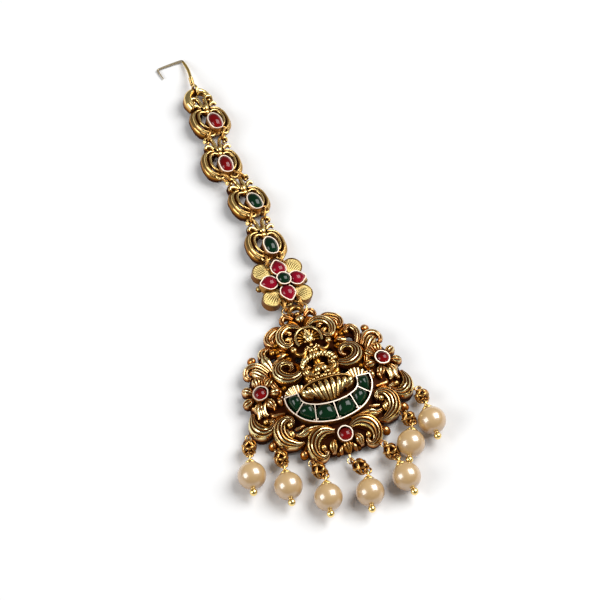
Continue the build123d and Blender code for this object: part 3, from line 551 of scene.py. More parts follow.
FIGURE_LIMBS = [  # the same, and each is mirrored on the left
    ("lower arm", 1, 2.1, [
        (1.4, -15.2, 0.9), (2.3, -16.6, 0.85), (2.7, -18.2, 0.75), (2.4, -19.6, 0.7), (2.9, -20.6, 0.8)]),
    ("raised arm", 1, 2.3, [(1.4, -15.3, 0.8), (2.6, -15.9, 0.75), (3.4, -15.4, 0.65), (3.8, -14.6, 0.5)]),
    ("sash end", 2, 2.8, [
        (2.0, -19.7, 0.5), (2.9, -19.9, 0.9), (3.0, -20.8, 1.0), (2.3, -21.4, 0.9), (1.8, -22.0, 0.5)]),
    ("leg", 1, 2.0, [
        (0.3, -20.4, 1.1), (2.0, -20.8, 1.3), (3.3, -21.6, 1.2), (2.2, -22.2, 1.0), (0.5, -22.2, 0.8)]),
    ("open hand", 3, 2.5, [(3.4, -19.5, 0.6), (3.4, -20.5, 1.4), (3.1, -21.5, 0.8)]),
    ("necklace", 1, 3.2, [(0.1, -15.5, 0.3), (0.7, -15.2, 0.3), (1.0, -14.7, 0.3)]),
    ("side petal", 2, 2.5, [(3.6, -26.4, 0.8), (5.0, -25.4, 1.5), (5.9, -24.2, 0.5)]),
]
HALO_RAYS, HALO_FROM, HALO_SPAN, HEAD_Y = 11, -20, 220, -12.4  # degrees, from the right
HALO_RAY = [(1.1, 2.2, 0.3), (2.3, 2.4, 0.5)]  # from the head outwards: radius, lift, width
GARLAND = [(-3.7, -19.3), (-2.6, -18.1), (0, -17.5), (2.4, -17.9), (3.4, -19.3)]
GARLAND_BEADS, GARLAND_BEAD_R, GARLAND_Z, GARLAND_ARCH = 14, 0.72, 3.15, 0.35
LOTUS_PETALS, LOTUS_TOP_Y, LOTUS_FOOT_Y = 9, -23.5, -27.9


def placed(name):
    """The newest object gets its name, and its place goes into its mesh."""
    bpy.ops.object.transform_apply()
    piece = bpy.context.object
    piece.name = piece.data.name = name
    return piece


def bead(name, x, y, z, rx, ry, rz, segments=18, rings=12):
    """A round grain of metal at a place of the drawing, in mm."""
    alone()
    bpy.ops.mesh.primitive_uv_sphere_add(
        segments=segments, ring_count=rings, radius=1,
        location=(x * MM, y * MM, z * MM), scale=(rx * MM, ry * MM, rz * MM),
    )
    return placed(name)


def both_sides(rows):
    """Rows of a table whose x is on the right are repeated, mirrored, on the left."""
    return rows + [(row[0], -row[1], *row[2:]) for row in rows if row[1] > 0]


parts = [bead(word, *row) for word, *row in both_sides(FIGURE_BEADS)]
for word, ribs, lift, run in FIGURE_STRIPS:
    parts.append(strips(word, sections[ribs], [level_run(run, lift)]))
for word, ribs, lift, run in FIGURE_LIMBS:
    right = level_run(run, lift)
    parts.append(strips(word, sections[ribs], [right, mirrored(right)]))
rays = []
for k in range(HALO_RAYS):
    a = radians(HALO_FROM + HALO_SPAN * k / (HALO_RAYS - 1))
    rays.append([(r * cos(a), HEAD_Y + r * sin(a), lift, width) for r, lift, width in HALO_RAY])
parts.append(strips("halo rays", sections[1], rays, steps=3))
petals = []
for k in range(LOTUS_PETALS):
    side = k - (LOTUS_PETALS - 1) / 2
    top_y, foot_y = LOTUS_TOP_Y - 0.07 * side * side, LOTUS_FOOT_Y + 0.13 * side * side
    petals.append([
        (0.75 * side, foot_y, 2.2, 0.6), (1.08 * side, (top_y + 2 * foot_y) / 3, 2.8, 0.95),
        (1.27 * side, (2 * top_y + foot_y) / 3, 3.1, 1.08), (1.36 * side, top_y, 2.8, 0.6),
    ])
parts.append(strips("lotus petals", sections[1], petals))
for k in range(GARLAND_BEADS):
    t = k / (GARLAND_BEADS - 1) * (len(GARLAND) - 1)
    i = min(int(t), len(GARLAND) - 2)
    x = GARLAND[i][0] + (GARLAND[i + 1][0] - GARLAND[i][0]) * (t - i)
    y = GARLAND[i][1] + (GARLAND[i + 1][1] - GARLAND[i][1]) * (t - i) + GARLAND_ARCH * sin(pi * (t - i))
    strand = bead("garland", 0, 0, 0, GARLAND_BEAD_R * 0.55, GARLAND_BEAD_R * 1.2, GARLAND_BEAD_R, 14, 10)
    slant = Matrix.Rotation(radians(-35 - 12 * x), 4, "Z")
    strand.data.transform(Matrix.Translation(Vector((x, y, GARLAND_Z)) * MM) @ slant)
    parts.append(strand)
figure = on_the_dome(joined("pendant_figure", parts))
figure_gold = antique_gold("figure gold", 0.8, 1.6, 3.9, (0.48, 0.20, 0.020), (1.0, 0.82, 0.40))
finished(figure, 50, figure_gold, "antique_gold", "pendant_frame")

# ---------------- pendant: rosettes and rim
# Two rosettes of ribbed leaves surround the side rubies, and the rim carries round beads on
# short necks and a flat wire eye for each drop. The two eyes at the top take jump rings.
ROSETTE_LEAVES = 7
ROSETTE_LEAF = [(1.7, 0.9), (2.8, 1.9), (3.7, 1.7), (4.15, 0.9)]  # from the ruby outwards: radius, width
ROSETTE_LIFT = 1.7
RIM_BALL_R, RIM_BALL_Z = 0.95, 1.25
NECK_Z, NECK_FOOT, NECK_END = 1.0, 1.1, 0.9  # height, and width at the plate and at the ball
RIM_BALLS = [  # x, y and the foot of its neck
    (12.8, -12.5, 11.6, -14.6), (14.65, -32.6, 13.0, -30.4), (9.05, -36.75, 7.8, -35.0)
]
LUGS = [  # eye x, y and the foot of its arm, from left to right
    (-18.9, -29.1, -16.2, -28.4), (-13.9, -33.6, -12.2, -31.8), (-8.2, -38.9, -6.6, -37.2),
    (-0.3, -40.9, 0.0, -38.4), (7.6, -39.4, 6.2, -37.4), (13.9, -33.8, 12.3, -32.0),
    (18.9, -29.6, 16.2, -28.4),
]
LUG_Z, LUG_RING_R, LUG_WIRE_R = 1.6, 0.68, 0.18
ARM_LIFT, ARM_END, ARM_FOOT = 0.9, 0.5, 0.9  # over the back, and width at the eye and at the plate
TOP_ARM = [(1.4, -3.95, 2.7, 0.6), (0.6, -5.0, 3.2, 1.0)]  # from the eye to the crown
TOP_EYE_X, TOP_EYE_Y, TOP_EYE_Z, EYE_RING_R, EYE_WIRE_R = 1.9, -3.2, 2.7, 0.86, 0.23
EYE_LEVEL = 2.5  # the eyes are rubbed all over
WIRE_SIDES = 10


def ring(name, x, y, z, ring_r, wire_r, turn=(0, 0, 0), around=28, thick=10):
    """A closed wire ring at a place given in mm."""
    alone()
    bpy.ops.mesh.primitive_torus_add(
        major_radius=ring_r * MM, minor_radius=wire_r * MM, major_segments=around,
        minor_segments=thick, location=(x * MM, y * MM, z * MM), rotation=turn,
    )
    return placed(name)


corner = 2 * pi / WIRE_SIDES
round_wire = section_curve(
    "wire", [(0.5 * cos(k * corner), 0.5 * sin(k * corner)) for k in range(WIRE_SIDES)]
)
leaves = []
for middle_x in (-RUBY_X, RUBY_X):
    for k in range(ROSETTE_LEAVES):
        a = 2 * pi * k / ROSETTE_LEAVES + pi / 2
        leaves.append([
            (middle_x + r * cos(a), RUBY_Y + r * sin(a), ROSETTE_LIFT, width) for r, width in ROSETTE_LEAF
        ])
parts = [strips("rosettes", sections[3], leaves)]
for side in (1, -1):
    for x, y, foot_x, foot_y in RIM_BALLS:
        parts.append(bead("rim ball", side * x, y, RIM_BALL_Z, *[RIM_BALL_R] * 3, 24, 16))
        neck = [(side * foot_x, foot_y, NECK_Z, NECK_FOOT), (side * x, y, NECK_Z, NECK_END)]
        parts.append(strips("neck", round_wire, [neck]))
rim = on_the_dome(joined("pendant_rim", parts))
eyes = []
for x, y, foot_x, foot_y in LUGS:
    eyes.append(ring("lug", x, y, LUG_Z, LUG_RING_R, LUG_WIRE_R))
    foot_z = back_height(foot_x, foot_y) + ARM_LIFT
    reach = LUG_RING_R / sqrt((foot_x - x) ** 2 + (foot_y - y) ** 2)
    near = (x + (foot_x - x) * reach, y + (foot_y - y) * reach, LUG_Z, ARM_END)
    eyes.append(strips("arm", round_wire, [[near, (foot_x, foot_y, foot_z, ARM_FOOT)]]))
for side in (1, -1):
    eyes.append(ring("top eye", side * TOP_EYE_X, TOP_EYE_Y, TOP_EYE_Z, EYE_RING_R, EYE_WIRE_R))
    arm = [(side * x, y, z, width) for x, y, z, width in TOP_ARM]
    eyes.append(strips("top arm", round_wire, [arm]))
for eye in eyes:
    eye.data.transform(pendant_place)
rim = joined("pendant_rim", [rim, with_levels(joined("eyes", eyes), lambda place: EYE_LEVEL * MM)])
finished(rim, 50, cast_gold, "antique_gold", "pendant_frame")

# ---------------- pendant: stone settings
# Bright burnished bezels hold the rubies, and a crescent channel with thin walls between its
# cells holds six green cushion stones, with a grain of gold pushed into each corner.
BEZEL_WALL, BEZEL_LIP, BEZEL_DEPTH = 0.36, 0.1, 0.9
OUTER_SLOPE, FLAT_TOP, INNER_SLOPE = 0.2, 0.55, 0.25  # shares of the wall
BEZEL_FOOT, BEZEL_TOP, SEAT_R = 0.8, 2.8, 1.36
INNER_WALL = [(6.5, -24.6), (6.45, -25.8), (5.95, -26.9), (4.0, -28.1), (2.0, -28.6), (0, -28.75)]
OUTER_WALL = [
    (9.45, -24.6), (9.4, -26.6), (8.3, -28.9), (6.8, -30.6), (4.7, -31.75), (2.0, -32.5), (0, -32.7)
]
CRESCENT_END = ((6.5, -24.6), (9.45, -24.6))
DIVIDERS = [((0.0, -28.75), (0.0, -32.7)), ((3.9, -28.15), (4.7, -31.75)), ((6.0, -26.9), (8.3, -28.9))]
WALL_TOP = 3.05  # over the back
DIVIDER_WIDTH = 0.85  # as a share of the outer walls' width
GRAIN_APART, GRAIN_BACK, GRAIN_Z, GRAIN_SIZE = 0.378, 0.4, 3.0, (0.24, 0.24, 0.3)
WALL_SECTION = [(0.15, -1.4), (0.15, 0.0), (0.11, 0.1), (-0.11, 0.1), (-0.15, 0.0), (-0.15, -1.4)]


def teardrop(half_x, half_y, tip=0.0, full=2.0):
    """Outline of a bezel or a stone: a more or less full oval, whose top is drawn out into a point."""

    def place(x, y):
        reach = sqrt(x * x + y * y)
        if reach > 0:
            swell = ((abs(x) / reach) ** full + (abs(y) / reach) ** full) ** (-1 / full)
            x, y = x * swell, y * swell
        point = max(y, 0)
        narrow = 1 - 0.10 * point**2 if tip > 0 else 1
        return x * half_x * narrow, y * half_y + tip * point**5

    return place


def pick_top(piece):
    """The flat top of a piece is selected in edit mode, ready to be inset."""
    bpy.ops.object.mode_set(mode="EDIT")
    bpy.ops.mesh.select_mode(type="FACE")
    bpy.ops.mesh.select_all(action="DESELECT")
    bpy.ops.object.mode_set(mode="OBJECT")
    for face in piece.data.polygons:
        face.select = face.normal.z > 0.9
    bpy.ops.object.mode_set(mode="EDIT")


def bezel(name, half_x, half_y, foot, top, tip=0.0, full=2.0):
    """A thin collar round a stone, burnished over at its top; tip draws it out along +Y."""
    alone()
    bpy.ops.mesh.primitive_cylinder_add(
        vertices=48, radius=1, depth=(top - foot) * MM, location=(0, 0, (top + foot) / 2 * MM)
    )
    collar = placed(name)
    for vertex in collar.data.vertices:
        x, y = vertex.co.x, vertex.co.y
        uneven = 1 + 0.012 * sin(5 * atan2(y, x)) + 0.010 * sin(11 * atan2(y, x) + 1)
        x, y = teardrop(half_x * uneven, half_y * uneven, tip, full)(x, y)
        vertex.co.x, vertex.co.y = x * MM, y * MM
    pick_top(collar)
    bpy.ops.mesh.inset(thickness=BEZEL_WALL * OUTER_SLOPE * MM)
    bpy.ops.transform.translate(value=(0, 0, BEZEL_LIP * MM))
    bpy.ops.mesh.inset(thickness=BEZEL_WALL * FLAT_TOP * MM)
    bpy.ops.mesh.inset(thickness=BEZEL_WALL * INNER_SLOPE * MM)
    bpy.ops.transform.translate(value=(0, 0, -BEZEL_DEPTH * MM))
    bpy.ops.object.mode_set(mode="OBJECT")
    return collar


def polished_bezel():
    """Burnished gold: brown in the corners of the wall; faces that look up are painted almost silver, a
    painted reflection.
    """
    material, paint, link = finish_of("bezel gold")
    # Painted reflection: faces that look up get a pale, less metallic colour.
    up = paint.facing("Z").between(0.45, 0.85)
    side = paint.openness(0.8).between(0.40, 0.95).mix(LACQUER, (0.42, 0.19, 0.04))
    link(
        Base_Color=up.mix(side, (0.96, 0.80, 0.64)),
        Metallic=0.95 - up * 0.55,
        Roughness=0.30 + paint.cloud(1500, 3.0) * 0.2,
    )
    return material


bezel_gold = polished_bezel()
parts = []
for node in ("pendant_ruby_1", "pendant_ruby_2", "pendant_ruby_3"):
    seat = pendant_place.inverted() @ centre(node)
    collar = bezel("ruby bezel", SEAT_R + BEZEL_WALL, SEAT_R + BEZEL_WALL, BEZEL_FOOT, BEZEL_TOP)
    collar.data.transform(Matrix.Translation((seat.x, seat.y, 0)))
    parts.append(collar)
wall = section_curve("wall", WALL_SECTION)
walls = []
for row in (INNER_WALL, OUTER_WALL):
    half = [(x, y, WALL_TOP, 1.0) for x, y in row]
    walls.append(half + mirrored(half)[1:])
for side in (1, -1):
    for (near_x, near_y), (far_x, far_y) in DIVIDERS[1:] + [CRESCENT_END]:
        ends = ((side * near_x, near_y), (side * far_x, far_y))
        walls.append([(x, y, WALL_TOP, DIVIDER_WIDTH) for x, y in ends])
walls.append([(x, y, WALL_TOP, DIVIDER_WIDTH) for x, y in DIVIDERS[0]])
parts.append(strips("crescent walls", wall, walls, steps=6))
for (near_x, near_y), (far_x, far_y) in DIVIDERS + [CRESCENT_END]:
    for side in (1, -1):
        for x in (far_x - GRAIN_APART, far_x + GRAIN_APART):
            parts.append(bead("grain", side * x, far_y + GRAIN_BACK, GRAIN_Z, *GRAIN_SIZE, 10, 7))
settings = on_the_dome(joined("pendant_settings", parts))
finished(settings, 40, bezel_gold, "antique_gold", "pendant_frame")

# ---------------- pendant: stones
# Deep red and dark green glass cabochons with a polished skin. Each has a painted glow, brighter
# on its lower side, as if light came through it. The bezels and the channel's grains hold them.
RUBY_R, RUBY_LEVELS = 1.46, (1.9, 2.7, 3.95)  # foot, girdle and crown, over the back
CUSHION_LEVELS, CUSHION_FILL, CUSHION_POWER = (2.1, 2.6, 4.2), 0.93, 2.7


def glass(name, painted_shade_colour, painted_glow_colour):
    """Coloured glass over foil with a painted glow: bright on faces that look along -Y, dark on faces
    along +Y.
    """
    material, paint, link = finish_of(
        name, Roughness=0.12, Specular_IOR_Level=0.2, Coat_Weight=0.3, Coat_Roughness=0.03
    )
    # Painted glow and shade: faces looking along -Y get the bright colour, those along +Y the dark one;
    # the cloud adds random tone.
    painted_glow_and_tone = 0.45 - paint.facing("Y") * 0.55 + (paint.cloud(700, 2.0) - 0.5) * 0.5
    link(Base_Color=painted_glow_and_tone.between(0.1, 1.1).mix(painted_shade_colour, painted_glow_colour))
    return material


ruby = glass("ruby glass", (0.06, 0.0, 0.0), (0.28, 0.0, 0.002))
emerald = glass("emerald glass", (0.0, 0.005, 0.001), (0.0, 0.030, 0.007))


def domed_stone(name, place, foot, girdle, top):
    """A cabochon: a ball flattened underneath, its outline laid out by place(x, y), one unit round."""
    alone()
    bpy.ops.mesh.primitive_uv_sphere_add(segments=32, ring_count=20, radius=1)
    gem = placed(name)
    for vertex in gem.data.vertices:
        x, y = place(vertex.co.x, vertex.co.y)
        rise = vertex.co.z
        z = girdle + (rise * (top - girdle) if rise > 0 else max(3 * rise, -1) * (girdle - foot))
        vertex.co = Vector((x, y, z)) * MM
    return gem


for number in (1, 2, 3):
    seat = centre(f"pendant_ruby_{number}")
    gem = domed_stone(f"round_ruby_{number}", teardrop(RUBY_R, RUBY_R), *RUBY_LEVELS)
    lift = seat.z / MM - (RUBY_LEVELS[0] + RUBY_LEVELS[2]) / 2
    gem.data.transform(Matrix.Translation((seat.x, seat.y, lift * MM)))
    finished(gem, 180, ruby, "ruby", f"pendant_ruby_{number}")

edges = [CRESCENT_END] + DIVIDERS[::-1]  # from the right end to the middle
right_cells = [(edges[k], edges[k + 1]) for k in range(3)]
left_cells = [
    tuple(((-near_x, near_y), (-far_x, far_y)) for (near_x, near_y), (far_x, far_y) in cell)
    for cell in right_cells
]


def cushion(first, second):
    """Outline of a stone that fills a four-sided cell of the channel, with rounded corners."""
    corners = [Vector(corner) for corner in (*first, *second)]
    heart = sum(corners, Vector((0, 0))) / 4
    corners = [heart + (corner - heart) * CUSHION_FILL for corner in corners]
    square = teardrop(1, 1, full=CUSHION_POWER)

    def place(x, y):
        x, y = square(x, y)
        u, v = (x + 1) / 2, (y + 1) / 2
        return corners[0].lerp(corners[1], v).lerp(corners[2].lerp(corners[3], v), u)

    return place


for number, (first, second) in enumerate(left_cells + right_cells[::-1], 1):
    gem = on_the_dome(domed_stone(f"crescent_gem_{number}", cushion(first, second), *CUSHION_LEVELS))
    finished(gem, 180, emerald, "emerald", f"crescent_stone_{number}")

# ---------------- pearl drops
# Seven cream pearls hang from the rim: a head pin with a ball end runs up through each pearl
# and a small cap to an eye, and a bead woven of round wire links that eye to the rim.
DROP_HEADINGS = [-14, -9, -13, -15, 4, -26, -3]  # degrees from straight down, left to right
PEARL_R, PIN_BALL_R, CAP_R = 3.0, 0.8, 1.1
PIN_EYE_AT, PIN_EYE_R, PIN_WIRE_R = 4.1, 0.8, 0.18
KNOT_FOOT, KNOT_BARREL = 0.5225, (0.95, 3.4)  # how far up the plait begins, and where it is dark
KNOT_EYE_R, KNOT_EYE_WIRE_R = 0.85, 0.22
KNOT_LOOP_R, KNOT_LOOP_WIRE_R = 0.70, 0.24
KNOT_TURNS, KNOT_BIGHTS, KNOT_POINTS, KNOT_R, KNOT_WIRE = 3, 4, 60, 1.30, 0.64
KNOT_CORE_R = 0.75


def bright_gold(name, colour, shade, roughness):
    """Smooth new plating on wire, balls and caps, with painted shade darkening its corners."""
    material, paint, link = finish_of(name, Metallic=1.0)
    cloud = paint.cloud(1200, 3.0)
    open_place = paint.openness(0.9) + (cloud - 0.5) * 0.3
    link(
        # Painted shade: the colour darkens where walls stand near.
        Base_Color=open_place.between(0.2, 0.75).mix(shade, colour),
        Roughness=roughness + cloud * 0.16,
    )
    return material


def pearl_lustre():
    """Cream nacre under a clear skin, with painted shade: lighter where it looks up, darker underneath."""
    material, paint, link = finish_of(
        "pearl", Roughness=0.36, IOR=2.0, Coat_Weight=1.0, Coat_Roughness=0.12, Coat_IOR=1.7
    )
    # Painted shade: faces that look up are lighter, those that look down darker; the cloud adds random
    # tone.
    painted_shade_and_tone = paint.facing("Z") * 0.55 + 0.40 + (paint.cloud(420, 3.0) - 0.5) * 0.35
    link(Base_Color=painted_shade_and_tone.between(0.0, 1.0).mix((0.34, 0.15, 0.020), (0.56, 0.37, 0.165)))
    return material


def refinish(material, *nodes):
    """A CAD node whose shape is right keeps it and gets the real finish."""
    for name in nodes:
        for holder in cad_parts[name].material_slots:
            holder.material = material


wire_gold = bright_gold("wire gold", (1.0, 0.74, 0.28), (0.30, 0.14, 0.03), 0.12)
woven_gold = antique_gold("woven gold", 0.6, 1.14, 1.8, (0.28, 0.085, 0.006), (0.90, 0.58, 0.20))
refinish(pearl_lustre(), *[f"pearl_{number}" for number in range(1, 8)])


def head_pin(name):
    """A pin through a pearl whose middle is at zero: ball below, cap and eye above."""
    return joined(name, [
        bead("ball", 0, 0, -PEARL_R - PIN_BALL_R, PIN_BALL_R, PIN_BALL_R, PIN_BALL_R, 28, 18),
        ring("collar", 0, 0, -PEARL_R - 0.02, 0.34, 0.14),
        bead("cap dome", 0, 0, PEARL_R - 0.15, CAP_R, CAP_R, 0.8, 24, 12),
        ring("cap lip", 0, 0, PEARL_R - 0.18, CAP_R + 0.02, 0.17, around=36),
        ring("neck", 0, 0, PEARL_R + 0.6, 0.40, 0.17),
        ring("pin eye", 0, 0, PIN_EYE_AT, PIN_EYE_R, PIN_WIRE_R, turn=(0, pi / 2, 0)),
    ])


def knot_bead(name, length):
    """A woven bead along +Z: a closed wire plaited round a barrel, a loop below, an eye above."""
    half = (length - KNOT_EYE_R * 1.45 - KNOT_FOOT) / 2
    run = []
    for k in range(KNOT_POINTS):
        t = 2 * pi * KNOT_TURNS * k / KNOT_POINTS
        wave = KNOT_BIGHTS * t / KNOT_TURNS
        r = KNOT_R * (1 - 0.25 * cos(wave) ** 2) + 0.13 * sin(2 * wave)
        run.append((r * cos(t), r * sin(t), KNOT_FOOT + half - half * 0.82 * cos(wave), KNOT_WIRE))
    return joined(name, [
        strips("plait", round_wire, [run], steps=2, closed=True, twist="MINIMUM"),
        bead("core", 0, 0, KNOT_FOOT + half, KNOT_CORE_R, KNOT_CORE_R, half * 0.9, 16, 10),
        ring("loop", 0, 0, 0, KNOT_LOOP_R, KNOT_LOOP_WIRE_R, turn=(0, pi / 2, 0)),
        ring("knot eye", 0, 0, length - KNOT_EYE_R, KNOT_EYE_R, KNOT_EYE_WIRE_R, turn=(pi / 2, 0, 0)),
    ])


def knot_level(place):
    """The plait is dark between its strands, and its loop and eye are rubbed all over."""
    low, high = KNOT_BARREL
    plaited = low * MM < place.z < high * MM
    return sqrt(place.x**2 + place.y**2) if plaited else KNOT_R * 1.2 * MM


for number, heading in enumerate(DROP_HEADINGS, 1):
    middle_of_pearl = centre(f"pearl_{number}")
    fall = Vector((sin(radians(heading)), -cos(radians(heading)), 0))
    across = fall.cross(Vector((0, 0, 1)))
    standing = Matrix((across, (-fall).cross(across), -fall)).transposed().to_4x4()
    pin = head_pin(f"drop_pin_{number}")
    pin.data.transform(Matrix.Translation(middle_of_pearl) @ standing)
    finished(pin, 50, wire_gold, "antique_gold", f"head_pin_{number}")
    loop_at = middle_of_pearl - fall * (PIN_EYE_AT + PIN_EYE_R) * MM
    lug_x, lug_y = LUGS[number - 1][:2]
    rise = pendant_place @ Vector((lug_x * MM, lug_y * MM, LUG_Z * MM)) - loop_at
    way = rise.normalized()
    level = way.cross(Vector((0, 0, 1))).normalized()
    face = way.cross(level)
    leaning = Matrix((face, way.cross(face), way)).transposed().to_4x4()
    knot = with_levels(knot_bead(f"woven_knot_{number}", rise.length / MM), knot_level)
    knot.data.transform(Matrix.Translation(loop_at) @ leaning)
    finished(knot, 50, woven_gold, "antique_gold", f"knot_link_{number}")

# ---------------- flower link
# Four engraved petals in matt gold stand round four ruby teardrops and a raised green centre;
# the petals are thick, with a rounded rim, and two small sepals show at the sides.
FLOWER_ROLL, FLOWER_TURN = 11, -0.5  # degrees, how far it leans over and turns
FLOWER_HEART = (0, 0, 3.05)
PETAL_R, PETAL_X, PETAL_Y, PETAL_HEIGHT = 2.15, 3.6, 3.5, 1.9
PETAL_EDGE, PETAL_RIM, PETAL_SUNK = 0.1, 0.16, 0.22
RAYS, RAY_REACH, RAY_SPREAD, RAY_SUNK = 7, 1.8, 0.86, 0.25
RAY_POINTS = [(-1, 0.55, 0.2), (0, 0.85, 0.44), (1, 1.1, 0.3)]  # place along, share of spread, width
TEAR_R, TEAR_TIP, TEAR_AT = 1.58, 0.42, 3.12
TEAR_WALL, TEAR_FOOT, TEAR_TOP, TEAR_LEVELS = 0.3, 0.6, 2.7, (1.4, 2.65, 3.8)
EMERALD_R, EMERALD_TOP, EMERALD_LEVELS = 1.36, 3.5, (2.0, 3.4, 4.4)
SEPAL_AT, SEPAL_R = 5.3, 0.75
EYE_X, EYE_Z = 1.7, 1.7
FLOWER_EYES = [(-EYE_X, -4.65), (EYE_X, -4.65), (-EYE_X, 4.5), (EYE_X, 4.5)]


def leaning_place(node, turn, roll, heart):
    """Where a leaning link lies, from the middle of its stone; heart is that middle, in mm."""
    spin = Matrix.Rotation(radians(turn), 4, "Z") @ Matrix.Rotation(radians(roll), 4, "Y")
    return Matrix.Translation(centre(node) - spin @ (Vector(heart) * MM)) @ spin


def matt_gold():
    """Sandblasted gold with brown lacquer in its hollows, painted light on the faces that look up and
    painted shade down the sides.
    """
    material, paint, link = finish_of("matt gold", Metallic=1.0)
    cloud = paint.cloud(2600, 4.0)
    wear = (paint.openness(0.7) + (cloud - 0.5) * 0.25).between(0.45, 0.9)
    # Painted light and shade: faces that look up take the pale colour, the sides the brown one; in each,
    # the hollows hold darker lacquer.
    side = wear.mix((0.03, 0.006, 0.001), (0.20, 0.07, 0.007))
    face = wear.mix((0.14, 0.06, 0.006), (0.62, 0.48, 0.185))
    link(
        Base_Color=paint.facing("Z").between(0.5, 0.85).mix(side, face),
        Roughness=0.52 - wear * 0.12 + (cloud - 0.5) * 0.2,
        Normal=paint.bump(0.35, 7000, 2.0),
    )
    return material


petal_gold = matt_gold()
pink_ruby = glass("pink ruby glass", (0.10, 0.0, 0.005), (0.38, 0.001, 0.020))
flower_place = leaning_place("flower_emerald", FLOWER_TURN, FLOWER_ROLL, FLOWER_HEART)


def petal(x, y):
    """A thick round petal with a raised rim and engraved rays from the flower's heart."""
    alone()
    bpy.ops.mesh.primitive_cylinder_add(
        vertices=40, radius=PETAL_R * MM, depth=PETAL_HEIGHT * MM,
        location=(x * MM, y * MM, PETAL_HEIGHT / 2 * MM),
    )
    disc = placed("petal")
    pick_top(disc)
    bpy.ops.mesh.inset(thickness=PETAL_EDGE * MM)
    bpy.ops.transform.translate(value=(0, 0, PETAL_EDGE * MM))
    bpy.ops.mesh.inset(thickness=PETAL_RIM * MM)
    bpy.ops.transform.translate(value=(0, 0, -PETAL_SUNK * MM))
    bpy.ops.object.mode_set(mode="OBJECT")
    away = Vector((x, y)).normalized()
    out = sqrt(x * x + y * y)
    rays = []
    for k in range(RAYS):
        swing = RAY_SPREAD * (2 * k / (RAYS - 1) - 1)
        half, side = RAY_REACH * sqrt(1 - swing**2), RAY_REACH * swing
        points = [(out + along * half, side * share, width) for along, share, width in RAY_POINTS]
        rays.append([
            (away.x * a - away.y * b, away.y * a + away.x * b, PETAL_HEIGHT - RAY_SUNK, width)
            for a, b, width in points
        ])
    return [disc, strips("rays", sections[1], rays, steps=5)]


parts = []
for x, y in ((PETAL_X, PETAL_Y), (-PETAL_X, PETAL_Y), (-PETAL_X, -PETAL_Y), (PETAL_X, -PETAL_Y)):
    parts += petal(x, y)
for k in range(4):
    a = pi / 2 * k
    parts.append(bead("sepal", SEPAL_AT * cos(a), SEPAL_AT * sin(a), 0.8, SEPAL_R, SEPAL_R, 0.7))
parts.append(bead("under plate", 0, 0, 0.9, 4.0, 4.0, 0.8, 32, 12))
flower = joined("flower_petals", parts)
flower.data.transform(flower_place)
finished(flower, 40, petal_gold, "petal_gold", "flower_link")


def link_eyes(places):
    """Wire eyes for jump rings, with an arm back to the body of the link."""
    made = []
    for x, y in places:
        made.append(ring("eye", x, y, EYE_Z, EYE_RING_R, EYE_WIRE_R + 0.02))
        arm = [(x * 0.8, y * 0.86, EYE_Z, 0.6), (x * 0.45, y * 0.62, 1.5, 0.9)]
        made.append(strips("eye arm", round_wire, [arm]))
    return made


link_gold = antique_gold("link gold", 0.9, 0.8, 2.6, (0.36, 0.13, 0.009), (0.96, 0.70, 0.27))
flower_eyes = with_levels(joined("flower_eyes", link_eyes(FLOWER_EYES)))
flower_eyes.data.transform(flower_place)
finished(flower_eyes, 50, link_gold, "antique_gold", "flower_link")
parts = [bezel("heart bezel", EMERALD_R + BEZEL_WALL, EMERALD_R + BEZEL_WALL, BEZEL_FOOT, EMERALD_TOP)]
for k in range(4):
    half = TEAR_R + TEAR_WALL
    tear = bezel("tear bezel", half, half, TEAR_FOOT, TEAR_TOP, TEAR_TIP)
    tear.data.transform(Matrix.Rotation(pi / 2 * k, 4, "Z") @ Matrix.Translation((0, TEAR_AT * MM, 0)))
    parts.append(tear)
collars = joined("flower_settings", parts)
collars.data.transform(flower_place)
finished(collars, 40, bezel_gold, "antique_gold", "flower_link")
gem = domed_stone("flower_heart", teardrop(EMERALD_R, EMERALD_R), *EMERALD_LEVELS)
gem.data.transform(flower_place)
finished(gem, 180, emerald, "emerald", "flower_emerald")
for number in range(1, 5):
    gem = domed_stone(f"flower_drop_{number}", teardrop(TEAR_R, TEAR_R, TEAR_TIP), *TEAR_LEVELS)
    seat = flower_place.inverted() @ centre(f"flower_ruby_{number}")
    away = atan2(seat.y, seat.x)
    gem.data.transform(Matrix.Rotation(away - pi / 2, 4, "Z") @ Matrix.Translation((0, TEAR_AT * MM, 0)))
    gem.data.transform(flower_place)
    finished(gem, 180, pink_ruby, "ruby", f"flower_ruby_{number}")

